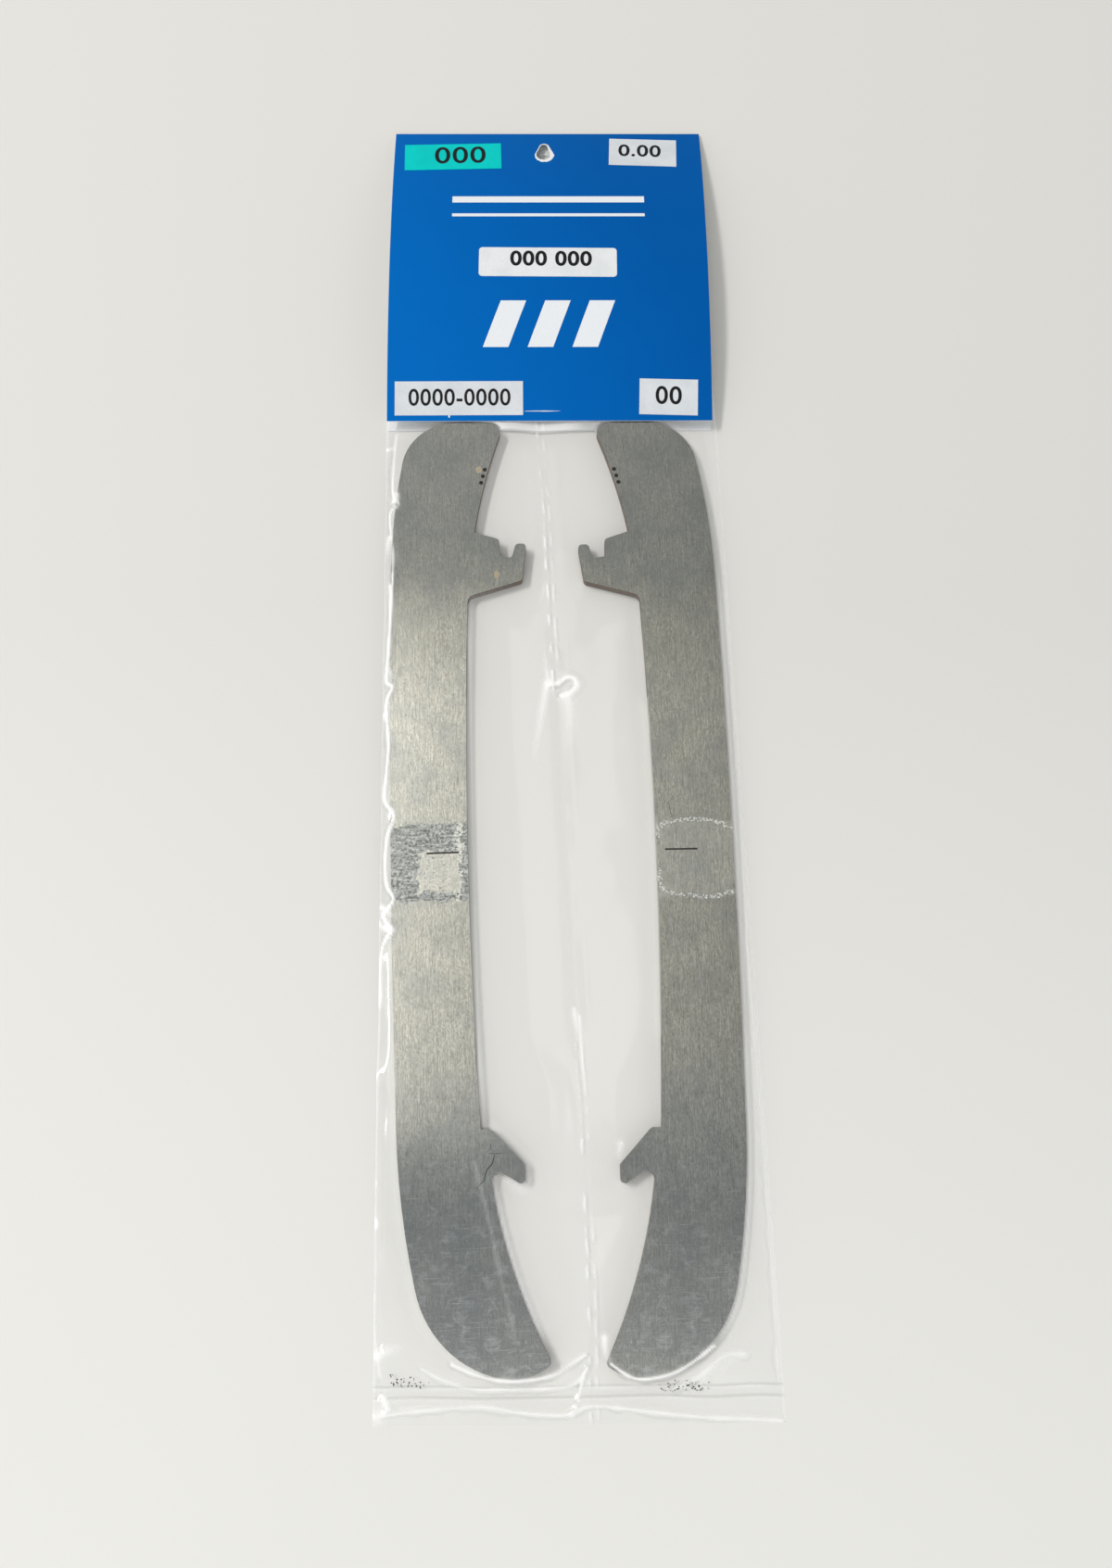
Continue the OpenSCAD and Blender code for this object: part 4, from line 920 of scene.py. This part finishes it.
def grain_tree():
    """Geometry nodes that strew small flattened grains along a path."""
    tree = bpy.data.node_groups.new("grains along a path", "GeometryNodeTree")
    for name, kind in (("Path", "Geometry"), *GRAIN_SETTINGS.items()):
        tree.interface.new_socket(name, in_out="INPUT", socket_type="NodeSocket" + kind)
    tree.interface.new_socket("Grains", in_out="OUTPUT", socket_type="NodeSocketGeometry")
    add = partial(put, tree)
    given = add("NodeGroupInput").outputs
    seed = given["Seed"]
    curve = add("GeometryNodeMeshToCurve", {"Mesh": given["Path"]})
    curve = add("GeometryNodeResampleCurve", {"Curve": curve, "Length": given["Spacing"]}, mode="LENGTH")
    jitter = add("FunctionNodeRandomValue FLOAT_VECTOR", {0: (-1, -1, 0), 1: (1, 1, 0), "Seed": seed})
    jitter = add("VectorMath SCALE", {0: jitter, "Scale": given["Spread"]})
    curve = add("GeometryNodeSetPosition", {"Geometry": curve, "Offset": jitter})
    turn = add("FunctionNodeRandomValue FLOAT_VECTOR", {0: (0, 0, -1.2), 1: (0, 0, 1.2), "Seed": seed})
    fraction = add("FunctionNodeRandomValue FLOAT", {2: 0.25, 3: 1, "Seed": seed})
    size = add("Math MULTIPLY", (fraction, given["Size"]))
    shape = add("CombineXYZ", {"X": given["Stretch"], "Y": 1, "Z": given["Flatness"]})
    shape = add("VectorMath SCALE", {0: shape, "Scale": size})
    grain = add("GeometryNodeMeshIcoSphere", {"Radius": 1, "Subdivisions": 1})
    strewn = add("GeometryNodeInstanceOnPoints", {
        "Points": curve, "Instance": grain, "Rotation": turn, "Scale": shape})
    solid = add("GeometryNodeRealizeInstances", {"Geometry": strewn})
    solid = add("GeometryNodeSetMaterial", {"Geometry": solid, "Material": given["Finish"]})
    add("NodeGroupOutput", {0: solid})
    return tree


GRAINS = grain_tree()


def strew(name, paths, body, material, sizes):
    """Grains along paths in millimetres, as one plain mesh."""
    points = [p for path in paths for p in path]
    edges, start = [], 0
    for path in paths:
        edges += [(start + i, start + i + 1) for i in range(len(path) - 1)]
        start += len(path)
    mesh = bpy.data.meshes.new(name + "_path")
    mesh.from_pydata([Vector(p) * MM for p in points], edges, [])
    holder = add_object(name + "_path", mesh)
    modifier = holder.modifiers.new("grains", "NODES")
    modifier.node_group = GRAINS
    sockets = {item.name: item.identifier for item in GRAINS.interface.items_tree if item.in_out == "INPUT"}
    for key, value in zip(GRAIN_SETTINGS, (*sizes, material)):
        modifier[sockets[key]] = value
    made = turned_to_mesh(holder)
    made.name = name
    return add_object(name, made, body)


def on_film(path):
    """A path in plan, laid on the front film."""
    bpy.context.view_layer.update()
    laid = []
    for (ax, ay), (bx, by) in zip(path[:-1], path[1:]):
        for t in np.linspace(0, 1, 6):
            x, y = ax + t * (bx - ax), ay + t * (by - ay)
            _, place, _, _ = FRONT.ray_cast((x * MM, y * MM, 0.02), (0, 0, -1))
            laid.append((x, y, place.z / MM))
    return laid


def scratch(name, blade, points, width):
    """A thin dark scratch on a steel's upper face, with pointed ends."""
    places, last = [], len(points) - 1
    for i, (x, y) in enumerate(points):
        ax, ay = points[max(i - 1, 0)]
        bx, by = points[min(i + 1, last)]
        half = width / 2 * (0.3 if i in (0, last) else 1) / math.hypot(bx - ax, by - ay)
        nx, ny = (ay - by) * half, (bx - ax) * half
        places += [(x - nx, y - ny, STEEL_TOP + SCRATCH_LIFT), (x + nx, y + ny, STEEL_TOP + SCRATCH_LIFT)]
    faces = [face[::-1] for face in strip_faces(len(points))]
    return add_piece(name, places, faces, blade, BLACK_INK, smooth=False)


torn_rim()
for name, middle, drop, width, height, seed in PAPER_BLOTS:
    blot(name, lambda x, y, out: on_card(middle + x, drop - y, CARD_T + out), width, height, seed,
         "card_flap", BOARD)
for name, across, down, width, height, seed in RESIN_BLOTS:
    blot(name, lambda x, y, out: (across + x, down + y, STEEL_TOP + out), width, height, seed,
         "left_blade", AMBER)
crumb_paths = [[(x, y, STEEL_TOP) for x, y in smooth_run(rim)] for rim in GLUE_RIMS]
strew("glue_crumbs", crumb_paths, "right_blade", GLUE, GLUE_GRAINS)
for name, path, sizes in INK_SPECKS:
    strew(name, [on_film(path)], "bag", BLACK_INK, sizes)
for mark in SCRATCHES:
    scratch(*mark)


# Light, table and camera

# Half the table's side, and its height, a hair under the pack.
TABLE_HALF, TABLE_Z = 4000, -0.05
# Lamps: name, place in metres, whether it is aimed at the pack, size in metres, power and colour.
LAMPS = (
    ("window on the left", (-1.4, 0.44, 2), True, (0.95, 0.3), 26, (1, 0.98, 0.95)),
    ("softbox overhead", (-0.41, 0.30, 1.5), False, (0.44, 0.79), 0.96, (1, 0.95, 0.84)),
)
# The ceiling from the camera's side, 0, to beyond the card, 1: place and colour.
CEILING = (
    (0, (0.6, 0.605, 0.6)), (0.43, (0.62, 0.628, 0.625)), (0.455, (0.46, 0.468, 0.472)),
    (0.485, (0.36, 0.375, 0.38)), (0.515, (0.35, 0.366, 0.371)), (0.55, (0.40, 0.40, 0.362)),
    (0.68, (0.45, 0.45, 0.40)), (0.71, (0.415, 0.425, 0.41)), (0.75, (0.45, 0.455, 0.44)),
    (0.85, (0.42, 0.42, 0.41)),
)
WALL_TONE = (0.80, 0.805, 0.805)


def table_top(add):
    """A pale table top, with painted shade that makes it a little darker away from the camera."""
    spot = add("TexCoord").outputs["Object"]
    cloud = add("TexNoise", {"Vector": spot, "Scale": 6, "Detail": 2})
    tint = add("Mix RGBA", {0: cloud, 6: "#ebebe8", 7: "#f0f0ed"})
    place = add("SeparateXYZ", {0: spot})
    # Painted shade: the table top darkens away from the camera.
    back = add("MapRange", (place.outputs["Y"], -0.3, 0.03))
    return add("BsdfPrincipled", {
        "Base Color": add("Mix RGBA", {0: back, 6: tint, 7: "#dcdbd8"}),
        "Roughness": 0.6})


def table():
    """The table that the pack lies on."""
    material = new_material("pale table top", table_top)
    corners = [(x * TABLE_HALF, y * TABLE_HALF, TABLE_Z) for x, y in ((-1, -1), (1, -1), (1, 1), (-1, 1))]
    add_piece("table", corners, [(0, 1, 2, 3)], None, material, smooth=False)


def lamps():
    """A window on the left and a soft box overhead."""
    for name, place, aimed, size, power, colour in LAMPS:
        lamp = bpy.data.lights.new(name, "AREA")
        lamp.shape, lamp.size, lamp.size_y, lamp.energy, lamp.color = "RECTANGLE", *size, power, colour
        holder = add_object(name, lamp)
        holder.location = place
        if aimed:
            holder.rotation_euler = (-Vector(place)).to_track_quat("-Z", "Y").to_euler()


def room():
    """A dim ceiling that the steels mirror, with pale walls around."""
    world = bpy.data.worlds.new("studio")
    world.use_nodes = True
    world.node_tree.nodes.clear()
    add = partial(put, world.node_tree)
    heading = add("SeparateXYZ", {0: add("TexCoord")})
    ramp = add("ValToRGB", {0: add("MapRange", (heading.outputs["Y"], -1))})
    for place, _ in CEILING[2:]:
        ramp.color_ramp.elements.new(place)
    for stop, (place, shade) in zip(ramp.color_ramp.elements, CEILING):
        stop.position, stop.color = place, (*shade, 1)
    tilt = add("MapRange", (heading.outputs["Y"], -0.12, 0.1, -0.3, -1.5))
    sideways = add("Math MULTIPLY_ADD", (heading.outputs["X"], tilt, 1))
    overhead = add("VectorMath SCALE", {0: ramp, "Scale": sideways})
    low = add("MapRange", (heading.outputs["Z"], 0.8, 0.5), interpolation_type="SMOOTHSTEP")
    front = add("MapRange", (heading.outputs["Y"], -0.8, 0.8, 1.35, 0.8))
    walls = add("VectorMath SCALE", {0: WALL_TONE, "Scale": front})
    dome = add("Mix RGBA", {0: low, 6: overhead, 7: walls})
    sky = add("Background", {"Color": dome, "Strength": 1})
    add("OutputWorld", {"Surface": sky})
    bpy.context.scene.world = world
    bpy.context.scene.view_settings.view_transform = "Standard"


def camera():
    """A phone held above the pack, tipped 16 degrees, with its focal length in the picture's pixels."""
    sensor, focal_pixels, picture_height = 36, 1500, 1692
    place, degrees = (-0.00740, -0.13649, 0.3891), (15.71, -0.51, -0.4396)
    lens = bpy.data.cameras.new("camera")
    lens.sensor_width, lens.lens = sensor, sensor * focal_pixels / picture_height
    lens.clip_start, lens.clip_end = 0.01, 50
    holder = add_object("camera", lens)
    holder.location = place
    holder.rotation_euler = [math.radians(a) for a in degrees]
    bpy.context.scene.camera = holder


table()
lamps()
room()
camera()
